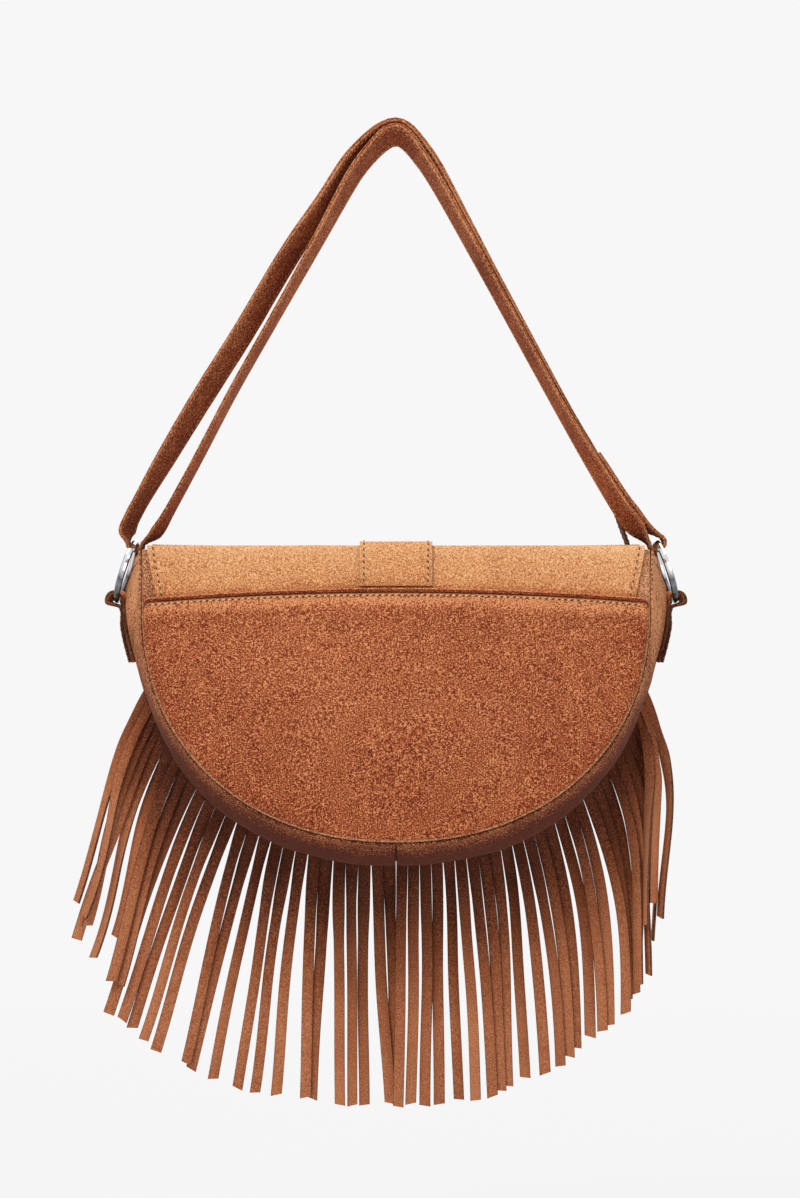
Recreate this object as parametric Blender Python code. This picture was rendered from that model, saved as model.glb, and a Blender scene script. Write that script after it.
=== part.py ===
"""Fringed suede shoulder bag: two leather panels sewn round a gusset, a flap, a doubled strap and a cut fringe.

Metres, +Z up. The origin is the hang point under the top of the strap. The back of the bag, with its slip pocket,
faces -Y and its front faces +Y, so +X is on the right when the back is looked at.
"""

import math
import random

import bmesh
import bpy
from mathutils import Vector

# Body
STRAP_DROP = 0.1935  # from the hang point down to the top edges of the panels
HALF_WIDTH = 0.1205  # from the middle to a side seam
STRAIGHT_SIDE = 0.0285  # from the top edges down to where the curve of the seam starts
CURVE_HEIGHT = 0.1100  # from there down to the lowest point of the seam
CURVE_POWER = 2.15  # 2 gives an ellipse, and more gives squarer shoulders
TOP_DEPTH = 0.044  # between the panels at the mouth
BOTTOM_DEPTH = 0.060  # between the panels at the lowest point
PANEL_CROWN = 0.004  # how far a filled panel swells past its seam
LEATHER = 0.0018  # suede with its lining
GAP = 0.0003  # between pieces that lie on each other

# Gusset
GUSSET_TOP_SWELL = 0.0050
GUSSET_SIDE_SWELL = 0.0088  # beside the rings
GUSSET_WAIST_SWELL = 0.0062  # a third of the way down the curve
GUSSET_BOTTOM_SWELL = 0.0128
GUSSET_EASE = 0.016  # height over which the swell grows below the mouth
GUSSET_DIP = 0.006  # the top edge of the gusset is cut this much lower in its middle
GUSSET_POWER = 2.2

# Slip pocket on the back
POCKET_TOP = 0.0205  # its mouth, below the top edges
POCKET_ARCH = 0.0050  # the mouth is this much higher in the middle than at the seams
POCKET_INSET = 0.0010  # from the seam of the panel under it
BINDING_HEIGHT = 0.0028
BINDING_THICKNESS = 0.0022

# Flap and closure tab
FLAP_LEATHER = 0.0016
FLAP_HALF_WIDTH = 0.1180  # at the fold along the top of the back
FLAP_HALF_WIDTH_LOW = 0.1125  # where it goes into the pocket
FLAP_TUCK = 0.007  # how far it reaches into the pocket
FLAP_WAIST = 0.0860  # half width at the front fold, so that it passes between the legs of the strap
FLAP_DROP = 0.085  # down the front
FRONT_FOLD_RADIUS = 0.007
TAB_LEATHER = 0.0016
TAB_HALF_WIDTH = 0.0172
TAB_FRONT_DROP = 0.074
SNAP_RADIUS = 0.0075
SNAP_THICKNESS = 0.0022
SNAP_DROP = 0.056  # centre of the snap, below the top edges

# Rings and the leather tabs that hold them
RING_RADIUS = 0.0144  # middle of the wire
WIRE_RADIUS = 0.0016
RING_TOP_OUT = 0.0044  # middle of the wire at the ring's top, outside the side seam
RING_TOP_RISE = 0.0035  # and above the top edges
RING_LEAN = math.radians(18)
RING_TURN = math.radians(4)
RING_TAB_WIDTH = 0.0120
RING_TAB_LOOP_WIDTH = 0.0095
RING_TAB_LEATHER = 0.0014
RING_TAB_PLAY = 0.0003  # lets the ring swing in its loop
RING_TAB_REACH = 0.030  # from the middle of the loop to its sewn end

# Strap
STRAP_WIDTH = 0.0150
STRAP_RING_WIDTH = 0.0110  # where it goes through a ring
STRAP_LEATHER = 0.0028
STRAP_LAYER_GAP = 0.0008
STRAP_APEX_TILT = math.radians(38)
STRAP_STEPS = 3
RING_HALF_TURN = (185, 220, 255, 290, 325, 360)  # degrees round a ring's wire, from its inner to its outer side
RING_OVER_TURN = (395, 425)  # the folded end goes on over the wire

# Fringe
FRINGE_LEATHER = 0.0012
FRINGE_START = 0.149  # length of seam from the bottom middle to the last strip
STRIP_PITCH_MIDDLE = 0.0059
STRIP_PITCH_SIDE = 0.0052
STRIP_WIDTH_MIDDLE = 0.0052
STRIP_WIDTH_SIDE = 0.0045
SLIT = 0.0005
HEADER_IN = 0.004  # the uncut band reaches this far inside the seam
HEADER_OUT = 0.003  # and this far outside it
STRIP_ROWS = (0.11, 0.24, 0.38, 0.53, 0.68, 0.84, 1)  # where a strip bends, as shares of its length
STRIP_HEAD = 0.8  # width of a strip at its first bend, as a share of its width in the seam
STRIP_LAYERS = 5  # neighbouring strips hang in this many layers, one behind another
STRIP_LAYER = 0.0020  # from one layer to the next
STRIP_TURN = 0.06  # radians that a strip may turn edge-on by its tip
# Where a tip hangs from its strip's start: (share of FRINGE_START, outwards, down)
TIPS_LEFT = ((0, 0, 0.128), (0.1, 0.001, 0.129), (0.31, 0.013, 0.130), (0.42, 0.027, 0.128), (0.51, 0.042, 0.122),
             (0.6, 0.046, 0.120), (0.7, 0.045, 0.121), (0.82, 0.042, 0.110), (1, 0.034, 0.112))
TIPS_RIGHT = ((0, 0, 0.128), (0.1, 0.001, 0.129), (0.2, 0.006, 0.126), (0.34, 0.011, 0.123), (0.43, 0.016, 0.121),
              (0.6, 0.015, 0.119), (0.78, 0.016, 0.112), (1, 0.012, 0.108))
# How far a tip turns from hanging straight down, as a share of the way from its strip's start
SWING_LEFT = 1.35
SWING_RIGHT = -0.2

# Places that follow from the sizes
TOP = -STRAP_DROP
SHOULDER = TOP - STRAIGHT_SIDE
BOTTOM = SHOULDER - CURVE_HEIGHT
UP = Vector((0, 0, 1))
AWAY = Vector((0, 1, 0))
LEFT, RIGHT = -1, 1
BACK, FRONT = -1, 1
FRONT_STACK = FRINGE_LEATHER + GAP  # the fringe is sewn in between the gusset and the front panel
SNAP_ROOM = 2 * SNAP_THICKNESS + 3 * GAP
CURVE_SAMPLES = 240


def smooth(t):
    t = min(1.0, max(0.0, t))
    return t * t * (3 - 2 * t)


def mix(a, b, t):
    return a + (b - a) * t


def read_table(table, t):
    """The values beside t in rows of (t, value, value), with straight runs between rows."""
    for low, high in zip(table, table[1:]):
        if t <= high[0]:
            part = (t - low[0]) / (high[0] - low[0])
            return [mix(a, b, part) for a, b in zip(low[1:], high[1:])]
    return list(table[-1][1:])


def seam_samples():
    """The right half of the seam as (x, z), from the bottom middle up to the mouth."""
    found = []
    for i in range(CURVE_SAMPLES + 1):
        angle = math.pi / 2 * (1 - i / CURVE_SAMPLES)
        x = HALF_WIDTH * max(0.0, math.cos(angle)) ** (2 / CURVE_POWER)
        z = SHOULDER - CURVE_HEIGHT * max(0.0, math.sin(angle)) ** (2 / CURVE_POWER)
        found.append(Vector((x, 0, z)))
    found.append(Vector((HALF_WIDTH, 0, TOP)))
    return found


SEAM = seam_samples()
SEAM_RUN = [0.0]
for before, after in zip(SEAM, SEAM[1:]):
    SEAM_RUN.append(SEAM_RUN[-1] + (after - before).length)
SEAM_LENGTH = SEAM_RUN[-1]


def seam_at(run, side):
    """The point on the seam at this length from the bottom middle, and the direction out of the bag there."""
    run = min(max(run, 0.0), SEAM_LENGTH)
    i = next(k for k in range(1, len(SEAM_RUN)) if run <= SEAM_RUN[k] or k == len(SEAM_RUN) - 1)
    part = (run - SEAM_RUN[i - 1]) / (SEAM_RUN[i] - SEAM_RUN[i - 1])
    point = SEAM[i - 1].lerp(SEAM[i], part)
    along = (SEAM[min(i + 2, len(SEAM) - 1)] - SEAM[max(i - 3, 0)]).normalized()
    out = Vector((along.z, 0, -along.x))
    return Vector((side * point.x, 0, point.z)), Vector((side * out.x, 0, out.z))


def half_width_at(z):
    """From the middle to the seam at this height."""
    fall = min(1.0, max(0.0, (SHOULDER - z) / CURVE_HEIGHT))
    return HALF_WIDTH * (1 - fall**CURVE_POWER) ** (1 / CURVE_POWER)


def half_depth(z):
    """From the middle to the edge of the gusset at this height."""
    return mix(TOP_DEPTH, BOTTOM_DEPTH, min(1.0, max(0.0, (TOP - z) / (TOP - BOTTOM)))) / 2


def crown(x, z):
    width = half_width_at(z)
    across = max(0.0, 1 - (x / width) ** 2) if width > 0 else 0.0
    down = min(1.0, max(0.0, (TOP - z) / (TOP - BOTTOM)))
    return PANEL_CROWN * across * math.sin(math.pi * down)


def on_wall(side, x, z, offset):
    """A point over the back or front wall of the bag, this far outside the inner face of its panel."""
    stack = FRONT_STACK if side == FRONT else 0
    return Vector((x, side * (half_depth(z) + GAP + stack + crown(x, z) + offset), z))


def material(name, colour, roughness, metallic=0.0):
    made = bpy.data.materials.new(name)
    made.use_nodes = True
    shader = made.node_tree.nodes["Principled BSDF"]
    shader.inputs["Base Color"].default_value = (*colour, 1)
    shader.inputs["Roughness"].default_value = roughness
    shader.inputs["Metallic"].default_value = metallic
    return made


def add_object(name, bm, finish, origin=None, smooth_shade=True):
    """One object from a finished bmesh. Its origin goes to this point, with its shape left where it is."""
    bmesh.ops.recalc_face_normals(bm, faces=bm.faces)
    if origin is not None:
        bmesh.ops.translate(bm, verts=bm.verts, vec=-origin)
    mesh = bpy.data.meshes.new(name)
    bm.to_mesh(mesh)
    bm.free()
    if smooth_shade:
        mesh.shade_smooth()
        mesh.set_sharp_from_angle(angle=math.radians(40))
    mesh.materials.append(finish)
    made = bpy.data.objects.new(name, mesh)
    made.location = origin if origin is not None else (0, 0, 0)
    bpy.context.scene.collection.objects.link(made)
    return made


def skin(name, outer, inner, finish, wrap=False, origin=None):
    """A leather piece from two grids of points with the same rows and columns, closed along its rim.

    With wrap, each row is a closed loop and the last row is filled to its middle.
    """
    bm = bmesh.new()
    grids = [[[bm.verts.new(p) for p in row] for row in grid] for grid in (outer, inner)]
    columns = len(outer[0])
    for grid in grids:
        for upper, lower in zip(grid, grid[1:]):
            for i in range(columns if wrap else columns - 1):
                j = (i + 1) % columns
                bm.faces.new((upper[i], upper[j], lower[j], lower[i]))
        if wrap:
            middle = bm.verts.new(sum((v.co for v in grid[-1]), Vector()) / columns)
            for i in range(columns):
                bm.faces.new((grid[-1][i], grid[-1][(i + 1) % columns], middle))
    if wrap:
        rims = [[grid[0] + [grid[0][0]] for grid in grids]]
    else:
        rims = [[grid[0] for grid in grids], [grid[-1] for grid in grids]]
        rims += [[[row[k] for row in grid] for grid in grids] for k in (0, -1)]
    for a, b in rims:
        for i in range(len(a) - 1):
            bm.faces.new((a[i], a[i + 1], b[i + 1], b[i]))
    return add_object(name, bm, finish, origin)


def ribbon(name, stations, thickness, finish, origin=None):
    """A flat strip swept along stations of (middle, direction across it, width)."""
    bm = bmesh.new()
    sections = []
    last = len(stations) - 1
    for i, (middle, across, width) in enumerate(stations):
        along = (stations[min(i + 1, last)][0] - stations[max(i - 1, 0)][0]).normalized()
        across = (across - along * across.dot(along)).normalized()
        through = along.cross(across)
        half, deep = across * width / 2, through * thickness / 2
        sections.append([bm.verts.new(middle + p) for p in (-half - deep, half - deep, half + deep, -half + deep)])
    for a, b in zip(sections, sections[1:]):
        for i in range(4):
            j = (i + 1) % 4
            bm.faces.new((a[i], a[j], b[j], b[i]))
    bm.faces.new(sections[0])
    bm.faces.new(sections[-1])
    return add_object(name, bm, finish, origin)


# Panels, pocket and gusset


def wall_loops(side, rim, scales, offset):
    """Loops of points that shrink from the rim towards the middle of a wall."""
    low, high = min(p.z for p in rim), max(p.z for p in rim)
    middle = Vector((0, 0, (low + high) / 2))
    loops = []
    for scale in scales:
        shrunk = [middle.lerp(p, scale) for p in rim]
        loops.append([on_wall(side, p.x, p.z, offset) for p in shrunk])
    return loops


def panel_rim(count=20, top_count=8):
    """The outline of a panel: down one side, round the bottom, up the other side and back along the mouth."""
    runs = [SEAM_LENGTH * i / count for i in range(count + 1)]
    left = [seam_at(run, LEFT)[0] for run in reversed(runs)]
    right = [seam_at(run, RIGHT)[0] for run in runs[1:]]
    top = [Vector((HALF_WIDTH * (1 - 2 * i / top_count), 0, TOP)) for i in range(1, top_count)]
    return left + right + top


def make_panel(name, side, finish):
    scales = (1, 0.82, 0.55, 0.25)
    rim = panel_rim()
    skin(name, wall_loops(side, rim, scales, LEATHER), wall_loops(side, rim, scales, 0), finish, wrap=True)


def pocket_mouth(x):
    """Height of the pocket's mouth at this distance from the middle."""
    return TOP - POCKET_TOP - POCKET_ARCH * (x / HALF_WIDTH) ** 2


def pocket_lift(z):
    """How far the pocket stands off the panel: it clears the flap that goes into it, and lies flat lower down."""
    return GAP + (FLAP_LEATHER + GAP) * (1 - smooth((pocket_mouth(0) - FLAP_TUCK - z) / 0.012))


def make_pocket(finish, count=18, top_count=8):
    side_run = next(
        run for run in (SEAM_LENGTH * i / 400 for i in range(400, 0, -1))
        if seam_at(run, RIGHT)[0].z < pocket_mouth(HALF_WIDTH)
    )
    runs = [side_run * i / count for i in range(count + 1)]

    def inside(run, side):
        point, out = seam_at(run, side)
        return point - out * POCKET_INSET

    rim = [inside(run, LEFT) for run in reversed(runs)] + [inside(run, RIGHT) for run in runs[1:]]
    reach = rim[-1].x
    for i in range(1, top_count):
        x = reach * (1 - 2 * i / top_count)
        rim.append(Vector((x, 0, pocket_mouth(x))))
    low, high = min(p.z for p in rim), max(p.z for p in rim)
    middle = Vector((0, 0, (low + high) / 2))
    outer, inner = [], []
    for scale in (1, 0.9, 0.72, 0.45, 0.2):
        shrunk = [middle.lerp(p, scale) for p in rim]
        outer.append([on_wall(BACK, p.x, p.z, LEATHER + pocket_lift(p.z) + LEATHER) for p in shrunk])
        inner.append([on_wall(BACK, p.x, p.z, LEATHER + pocket_lift(p.z)) for p in shrunk])
    skin("back_pocket", outer, inner, finish, wrap=True)


def make_binding(finish, columns=16):
    """The bound edge that stands along the mouth of the pocket."""
    reach = HALF_WIDTH - POCKET_INSET
    outer, inner = [], []
    for part in (1, 0.5, 0):
        xs = [reach * (2 * i / columns - 1) for i in range(columns + 1)]
        heights = [pocket_mouth(x) + GAP + BINDING_HEIGHT * part for x in xs]
        swell = BINDING_THICKNESS * (1 if part == 0.5 else 0.7)
        lift = LEATHER + GAP + FLAP_LEATHER + GAP
        outer.append([on_wall(BACK, x, z, lift + swell) for x, z in zip(xs, heights)])
        inner.append([on_wall(BACK, x, z, lift) for x, z in zip(xs, heights)])
    skin("pocket_binding", outer, inner, finish)


def gusset_swell(point):
    """How far the middle of the gusset stands outside the seam at this point of it."""
    down_curve = (SHOULDER - point.z) / CURVE_HEIGHT
    upper = mix(GUSSET_TOP_SWELL, GUSSET_SIDE_SWELL, smooth((TOP - point.z) / GUSSET_EASE))
    side = mix(upper, GUSSET_WAIST_SWELL, smooth(down_curve / 0.3))
    return mix(side, GUSSET_BOTTOM_SWELL, smooth((down_curve - 0.36) / 0.64))


def gusset_crest(z, side):
    """The middle of the gusset's outer face at this height on a side."""
    point = Vector((side * half_width_at(z), 0, z))
    return point + Vector((side * gusset_swell(point), 0, 0))


def make_gusset(name, side, finish, stations=18, across=10):
    outer, inner = [], []
    for i in range(stations + 1):
        run = mix(GAP / 2, SEAM_LENGTH, i / stations)
        point, out = seam_at(run, side)
        swell = gusset_swell(point)
        row_out, row_in = [], []
        for k in range(across + 1):
            t = 2 * k / across - 1
            rise = 1 - abs(t) ** GUSSET_POWER
            here = point + out * swell * rise
            if i == stations:
                here = here - UP * GUSSET_DIP * (1 - t * t)
            here.y = t * half_depth(point.z)
            row_out.append(here)
            row_in.append(here - out * LEATHER)
        outer.append(row_out)
        inner.append(row_in)
    skin(name, outer, inner, finish)


# Flap and tab

FLAP_OUT = LEATHER + GAP + FLAP_LEATHER  # outer face of the flap, from the inner face of the panel
TAB_OUT = FLAP_OUT + GAP + TAB_LEATHER
HINGE = on_wall(BACK, 0, TOP, TAB_OUT) + UP * (GAP + FLAP_LEATHER + GAP + TAB_LEATHER)


def flap_path(depth_in):
    """The moving flap in side view, at this depth inside the tab's outer face: across the top and down the front.

    Each entry is (y, z, distance from the hinge across the top, distance down the front).
    """
    top = HINGE.z - depth_in
    front_wall = on_wall(FRONT, 0, TOP, LEATHER + SNAP_ROOM + FLAP_LEATHER + GAP + TAB_LEATHER).y
    start = HINGE.y + depth_in + GAP
    front = front_wall - depth_in
    radius = FRONT_FOLD_RADIUS - depth_in / 2
    path = [(mix(start, front - radius, t), top, t, 0) for t in (0, 0.25, 0.5, 0.75, 1)]
    for angle in (30, 60, 90):
        a = math.radians(angle)
        path.append((front - radius + radius * math.sin(a), top - radius + radius * math.cos(a), 1, 0))
    return path


def front_y(z, depth_in):
    """The front fall of the flap, which lies over the snap and follows the slope of the front wall."""
    face = on_wall(FRONT, 0, z, LEATHER + SNAP_ROOM + FLAP_LEATHER + GAP + TAB_LEATHER).y
    return face - depth_in


def waist(t):
    """Half width of the flap across the top: full at the hinge, narrow at the front fold."""
    return mix(FLAP_HALF_WIDTH, FLAP_WAIST, smooth(t * 0.9) if t < 1 else 1)


def make_flap_back(finish, columns=12):
    """The part of the flap that stays on the back, from its fold down into the pocket."""
    outer, inner = [], []
    top_outer = HINGE.z - GAP - TAB_LEATHER - GAP * 1.5
    low = pocket_mouth(0) - FLAP_TUCK
    for t in (0, 0.35, 0.7, 1):
        z_out = mix(top_outer, low, t)
        z_in = mix(top_outer - FLAP_LEATHER, low, t)
        half = mix(FLAP_HALF_WIDTH, FLAP_HALF_WIDTH_LOW, t)
        xs = [half * (2 * i / columns - 1) for i in range(columns + 1)]
        outer.append([on_wall(BACK, x, z_out, FLAP_OUT) for x in xs])
        inner.append([on_wall(BACK, x, z_in, LEATHER + GAP) for x in xs])
    skin("flap_back", outer, inner, finish)


def make_tab_back(finish, columns=2):
    outer, inner = [], []
    top_outer = HINGE.z - GAP * 1.5
    low = pocket_mouth(TAB_HALF_WIDTH) + BINDING_HEIGHT + 2 * GAP
    for t in (0, 0.5, 1):
        z_out = mix(top_outer, low, t)
        z_in = mix(top_outer - TAB_LEATHER, low, t)
        xs = [TAB_HALF_WIDTH * (2 * i / columns - 1) for i in range(columns + 1)]
        outer.append([on_wall(BACK, x, z_out, TAB_OUT) for x in xs])
        inner.append([on_wall(BACK, x, z_in, FLAP_OUT + GAP) for x in xs])
    skin("tab_back", outer, inner, finish)


def fall_rows(drop, half_width, depth_in, round_power, steps):
    """Rows of (y, z, half width) down the front, from the front fold to a rounded end."""
    start = HINGE.z - FRONT_FOLD_RADIUS
    rows = []
    for i in range(1, steps + 1):
        angle = math.radians(84) * i / steps
        down = (drop - FRONT_FOLD_RADIUS) * math.sin(angle)
        z = start - down
        rows.append((front_y(z, depth_in), z, half_width * math.cos(angle) ** round_power))
    return rows


def make_flap_front(finish, columns=12, steps=9):
    depths = (TAB_LEATHER + GAP, TAB_LEATHER + GAP + FLAP_LEATHER)
    grids = []
    for depth_in in depths:
        rows = [(y, z, waist(t)) for y, z, t, _ in flap_path(depth_in)]
        rows += fall_rows(FLAP_DROP, FLAP_WAIST, depth_in, 0.9, steps)
        grids.append([
            [Vector((half * (2 * i / columns - 1), y, z)) for i in range(columns + 1)] for y, z, half in rows
        ])
    skin("flap_front", grids[0], grids[1], finish, origin=HINGE)


def make_tab_front(finish, columns=4, steps=6):
    grids = []
    for depth_in in (0, TAB_LEATHER):
        rows = [(y, z, TAB_HALF_WIDTH) for y, z, _, _ in flap_path(depth_in)]
        straight = fall_rows(TAB_FRONT_DROP, TAB_HALF_WIDTH, depth_in, 0, steps)
        rounded = fall_rows(TAB_FRONT_DROP, TAB_HALF_WIDTH, depth_in, 0.45, steps)
        rows += [(a[0], a[1], min(a[2], b[2])) for a, b in zip(straight, rounded)]
        grids.append([
            [Vector((half * (2 * i / columns - 1), y, z)) for i in range(columns + 1)] for y, z, half in rows
        ])
    skin("tab_front", grids[0], grids[1], finish, origin=HINGE)


def make_snap(name, inner_offset, finish, origin=None, sides=20):
    """A flat magnetic disc, lying parallel to the front wall."""
    z = TOP - SNAP_DROP
    foot = on_wall(FRONT, 0, z, LEATHER)
    slope = on_wall(FRONT, 0, z - 0.004, LEATHER) - on_wall(FRONT, 0, z + 0.004, LEATHER)
    down = slope.normalized()
    out = Vector((1, 0, 0)).cross(down) * -1
    out = out if out.y > 0 else -out
    bm = bmesh.new()
    loops = []
    edge = SNAP_THICKNESS * 0.2
    for lift, radius in ((0, SNAP_RADIUS), (SNAP_THICKNESS - edge, SNAP_RADIUS), (SNAP_THICKNESS, SNAP_RADIUS - edge)):
        middle = foot + out * (inner_offset + lift)
        angles = [2 * math.pi * i / sides for i in range(sides)]
        loops.append([
            bm.verts.new(middle + Vector((radius * math.cos(a), 0, 0)) + down * radius * math.sin(a)) for a in angles
        ])
    for a, b in zip(loops, loops[1:]):
        for i in range(sides):
            bm.faces.new((a[i], a[(i + 1) % sides], b[(i + 1) % sides], b[i]))
    bm.faces.new(loops[0])
    bm.faces.new(loops[-1])
    add_object(name, bm, finish, origin)


# Rings and their tabs


def bow(width):
    """How far the round wire of a ring bends away under a leather loop of this width."""
    return RING_RADIUS - math.sqrt(RING_RADIUS**2 - (width / 2) ** 2)


def ring_frame(side):
    """The middle of the wire at the ring's top and bottom, the way up the ring and the wire's way at its top."""
    top = Vector((side * (HALF_WIDTH + RING_TOP_OUT), 0, TOP + RING_TOP_RISE))
    up = Vector((-side * math.sin(RING_LEAN), 0, math.cos(RING_LEAN)))
    wire = -AWAY * math.cos(RING_TURN) + Vector((side * math.sin(RING_TURN), 0, 0))
    wire = (wire - up * wire.dot(up)).normalized()
    return top, top - up * 2 * RING_RADIUS, up, wire


def make_ring(name, side, finish, around=24, section=8):
    top, bottom, up, wire = ring_frame(side)
    middle = (top + bottom) / 2
    flat = up.cross(wire)
    bm = bmesh.new()
    loops = []
    for i in range(around):
        a = 2 * math.pi * i / around
        radial = up * math.cos(a) + wire * math.sin(a)
        loops.append([
            bm.verts.new(
                middle + radial * (RING_RADIUS + WIRE_RADIUS * math.cos(b)) + flat * WIRE_RADIUS * math.sin(b)
            )
            for b in (2 * math.pi * k / section for k in range(section))
        ])
    for i in range(around):
        a, b = loops[i], loops[(i + 1) % around]
        for k in range(section):
            bm.faces.new((a[k], a[(k + 1) % section], b[(k + 1) % section], b[k]))
    add_object(name, bm, finish, origin=bottom)


def make_ring_tab(name, side, finish):
    """A strip folded round the bottom of the ring, with its two layers sewn flat on the gusset."""
    _, bottom, _, wire = ring_frame(side)
    loop = WIRE_RADIUS + GAP + RING_TAB_PLAY + bow(RING_TAB_LOOP_WIDTH) + RING_TAB_LEATHER / 2
    low = bottom.z - RING_TAB_REACH
    heights = [mix(low, bottom.z - loop * 1.9, t) for t in (0, 0.33, 0.66, 1)]
    near = GAP + RING_TAB_LEATHER / 2
    far = near + RING_TAB_LEATHER + GAP

    def layer(offset):
        return [
            (gusset_crest(z, side) + Vector((side * offset, 0, 0)), -AWAY, RING_TAB_WIDTH) for z in heights
        ]

    turn = []
    for angle in (200, 168, 136, 104, 72, 40, 8, -24):
        a = math.radians(angle)
        spot = bottom + Vector((side * math.cos(a) * loop, 0, math.sin(a) * loop))
        turn.append((spot, wire, RING_TAB_LOOP_WIDTH))
    ribbon(name, layer(near) + turn + layer(far)[::-1], RING_TAB_LEATHER, finish)


# Strap


def tilted(point_before, point_after, side, tilt):
    """Across the strap, towards its near edge: with no tilt it points at -Y, and a tilt turns it outwards."""
    along = (point_after - point_before).normalized()
    out = along.cross(AWAY).normalized()
    if out.x * side < 0 or (side == 0 and out.z < 0):
        out = -out
    return -AWAY * math.cos(tilt) + out * math.sin(tilt)


def ring_turn(side, order, angles):
    """Stations round the top wire of a ring, from its inner side to its outer side, or back."""
    top, _, _, wire = ring_frame(side)
    radius = WIRE_RADIUS + GAP + bow(STRAP_RING_WIDTH) + STRAP_LEATHER / 2
    found = []
    for angle in angles:
        a = math.radians(angle)
        spot = top + Vector((side * math.cos(a) * radius, 0, math.sin(a) * radius))
        found.append((spot, wire, STRAP_RING_WIDTH))
    return found[::order]


def smooth_run(stations, steps):
    """Stations read from a smooth curve through these ones, however unevenly they are spaced."""
    last = len(stations) - 1
    run = [0.0]
    for a, b in zip(stations, stations[1:]):
        run.append(run[-1] + (b[0] - a[0]).length)

    def slope(i, part):
        low, high = max(i - 1, 0), min(i + 1, last)
        return (stations[high][part] - stations[low][part]) / (run[high] - run[low])

    found = []
    for i in range(last):
        a, b, length = stations[i], stations[i + 1], run[i + 1] - run[i]
        for step in range(steps):
            t = step / steps
            rise = t * t * (3 - 2 * t)
            leave = length * t * (1 - t) ** 2
            arrive = -length * t * t * (1 - t)
            point, across = [
                a[k] * (1 - rise) + b[k] * rise + slope(i, k) * leave + slope(i + 1, k) * arrive for k in (0, 1)
            ]
            found.append((point, across.normalized(), mix(a[2], b[2], t)))
    return found + [stations[last]]


def strap_stations():
    """The whole strap: its end folded on the right ring, up, over, round the left ring, back over and down."""
    degrees = math.radians
    inner_top = STRAP_WIDTH / 2 * math.sin(STRAP_APEX_TILT) + STRAP_LEATHER / 2 * math.cos(STRAP_APEX_TILT)
    spacing = STRAP_LEATHER + STRAP_LAYER_GAP
    rise = spacing * math.cos(STRAP_APEX_TILT)
    set_back = spacing * math.sin(STRAP_APEX_TILT)
    under = Vector((0, -set_back / 2, inner_top))
    over = Vector((0, set_back / 2, inner_top + rise))

    def leg_points(side, rows):
        top = ring_frame(side)[0]
        return [(Vector((top.x * out, depth, top.z * down)), degrees(tilt)) for out, down, depth, tilt in rows]

    # Rows are (share of the ring's distance out, share of its depth below the hang point, Y, tilt in degrees)
    right_inner = leg_points(RIGHT, (
        (0.922, 0.962, 0.0, 10), (0.857, 0.915, 0.0, 12), (0.771, 0.826, 0.0, 12), (0.654, 0.689, 0.0, 10),
        (0.464, 0.462, 0.0, 8), (0.321, 0.290, 0.0, 9), (0.189, 0.128, -0.0003, 13), (0.104, 0.036, -0.0007, 18),
    ))
    left_inner = leg_points(LEFT, (
        (0.125, 0.036, -0.0007, 22), (0.195, 0.110, -0.0004, 15), (0.304, 0.243, 0.0, 11), (0.492, 0.462, 0.0, 8),
        (0.632, 0.624, 0.0, 7), (0.753, 0.778, 0.0, 7), (0.872, 0.922, 0.0, 8), (0.922, 0.975, 0.0, 9),
    ))
    left_outer = leg_points(LEFT, (
        (1.038, 0.975, 0.0, 9), (1.026, 0.945, 0.0, 10), (0.978, 0.887, 0.0, 17), (0.907, 0.811, 0.0, 27),
        (0.802, 0.695, 0.0, 33), (0.692, 0.578, 0.0, 35), (0.579, 0.462, 0.0, 35), (0.400, 0.260, 0.0, 33),
        (0.254, 0.122, 0.0008, 27), (0.160, 0.020, 0.0008, 27),
    ))
    right_outer = leg_points(RIGHT, (
        (0.121, 0.018, 0.0011, 20), (0.211, 0.120, 0.0010, 14), (0.347, 0.285, 0.0010, 10),
        (0.492, 0.458, 0.0012, 9), (0.600, 0.580, 0.0050, 9), (0.670, 0.665, 0.0105, 8), (0.731, 0.740, 0.0158, 6),
        (0.792, 0.820, 0.0172, 4), (0.857, 0.915, 0.0172, 2), (0.880, 0.965, 0.0150, 1), (0.899, 1.010, 0.0127, 0),
    ))
    tail = leg_points(RIGHT, (
        (0.774, 0.788, 0.0, 11), (0.798, 0.816, 0.0, 12), (0.870, 0.891, 0.0, 12), (0.913, 0.927, 0.0, 11),
        (0.954, 0.958, 0.0, 10),
    ))

    def with_across(points, side):
        spots = [p for p, _ in points]
        last = len(spots) - 1
        return [
            (p, tilted(spots[max(i - 1, 0)], spots[min(i + 1, last)], side, tilt), STRAP_WIDTH)
            for i, (p, tilt) in enumerate(points)
        ]

    def apex(middle):
        across = -AWAY * math.cos(STRAP_APEX_TILT) + UP * math.sin(STRAP_APEX_TILT)
        return [(middle, across, STRAP_WIDTH)]

    stations = with_across(tail, RIGHT)
    stations += ring_turn(RIGHT, -1, RING_HALF_TURN + RING_OVER_TURN)
    stations += with_across(right_inner, RIGHT)
    stations += apex(under)
    stations += with_across(left_inner, LEFT)
    stations += ring_turn(LEFT, 1, RING_HALF_TURN)
    stations += with_across(left_outer, LEFT)
    stations += apex(over)
    stations += with_across(right_outer, RIGHT)
    return smooth_run(stations, STRAP_STEPS)


# Fringe


def strip_edges():
    """Each strip of one half as (start, end) along the seam from the bottom middle."""
    found = []
    run = GAP
    while run < FRINGE_START:
        pitch = mix(STRIP_PITCH_MIDDLE, STRIP_PITCH_SIDE, smooth(run / FRINGE_START))
        found.append((run, run + pitch - SLIT))
        run += pitch
    return found


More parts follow.
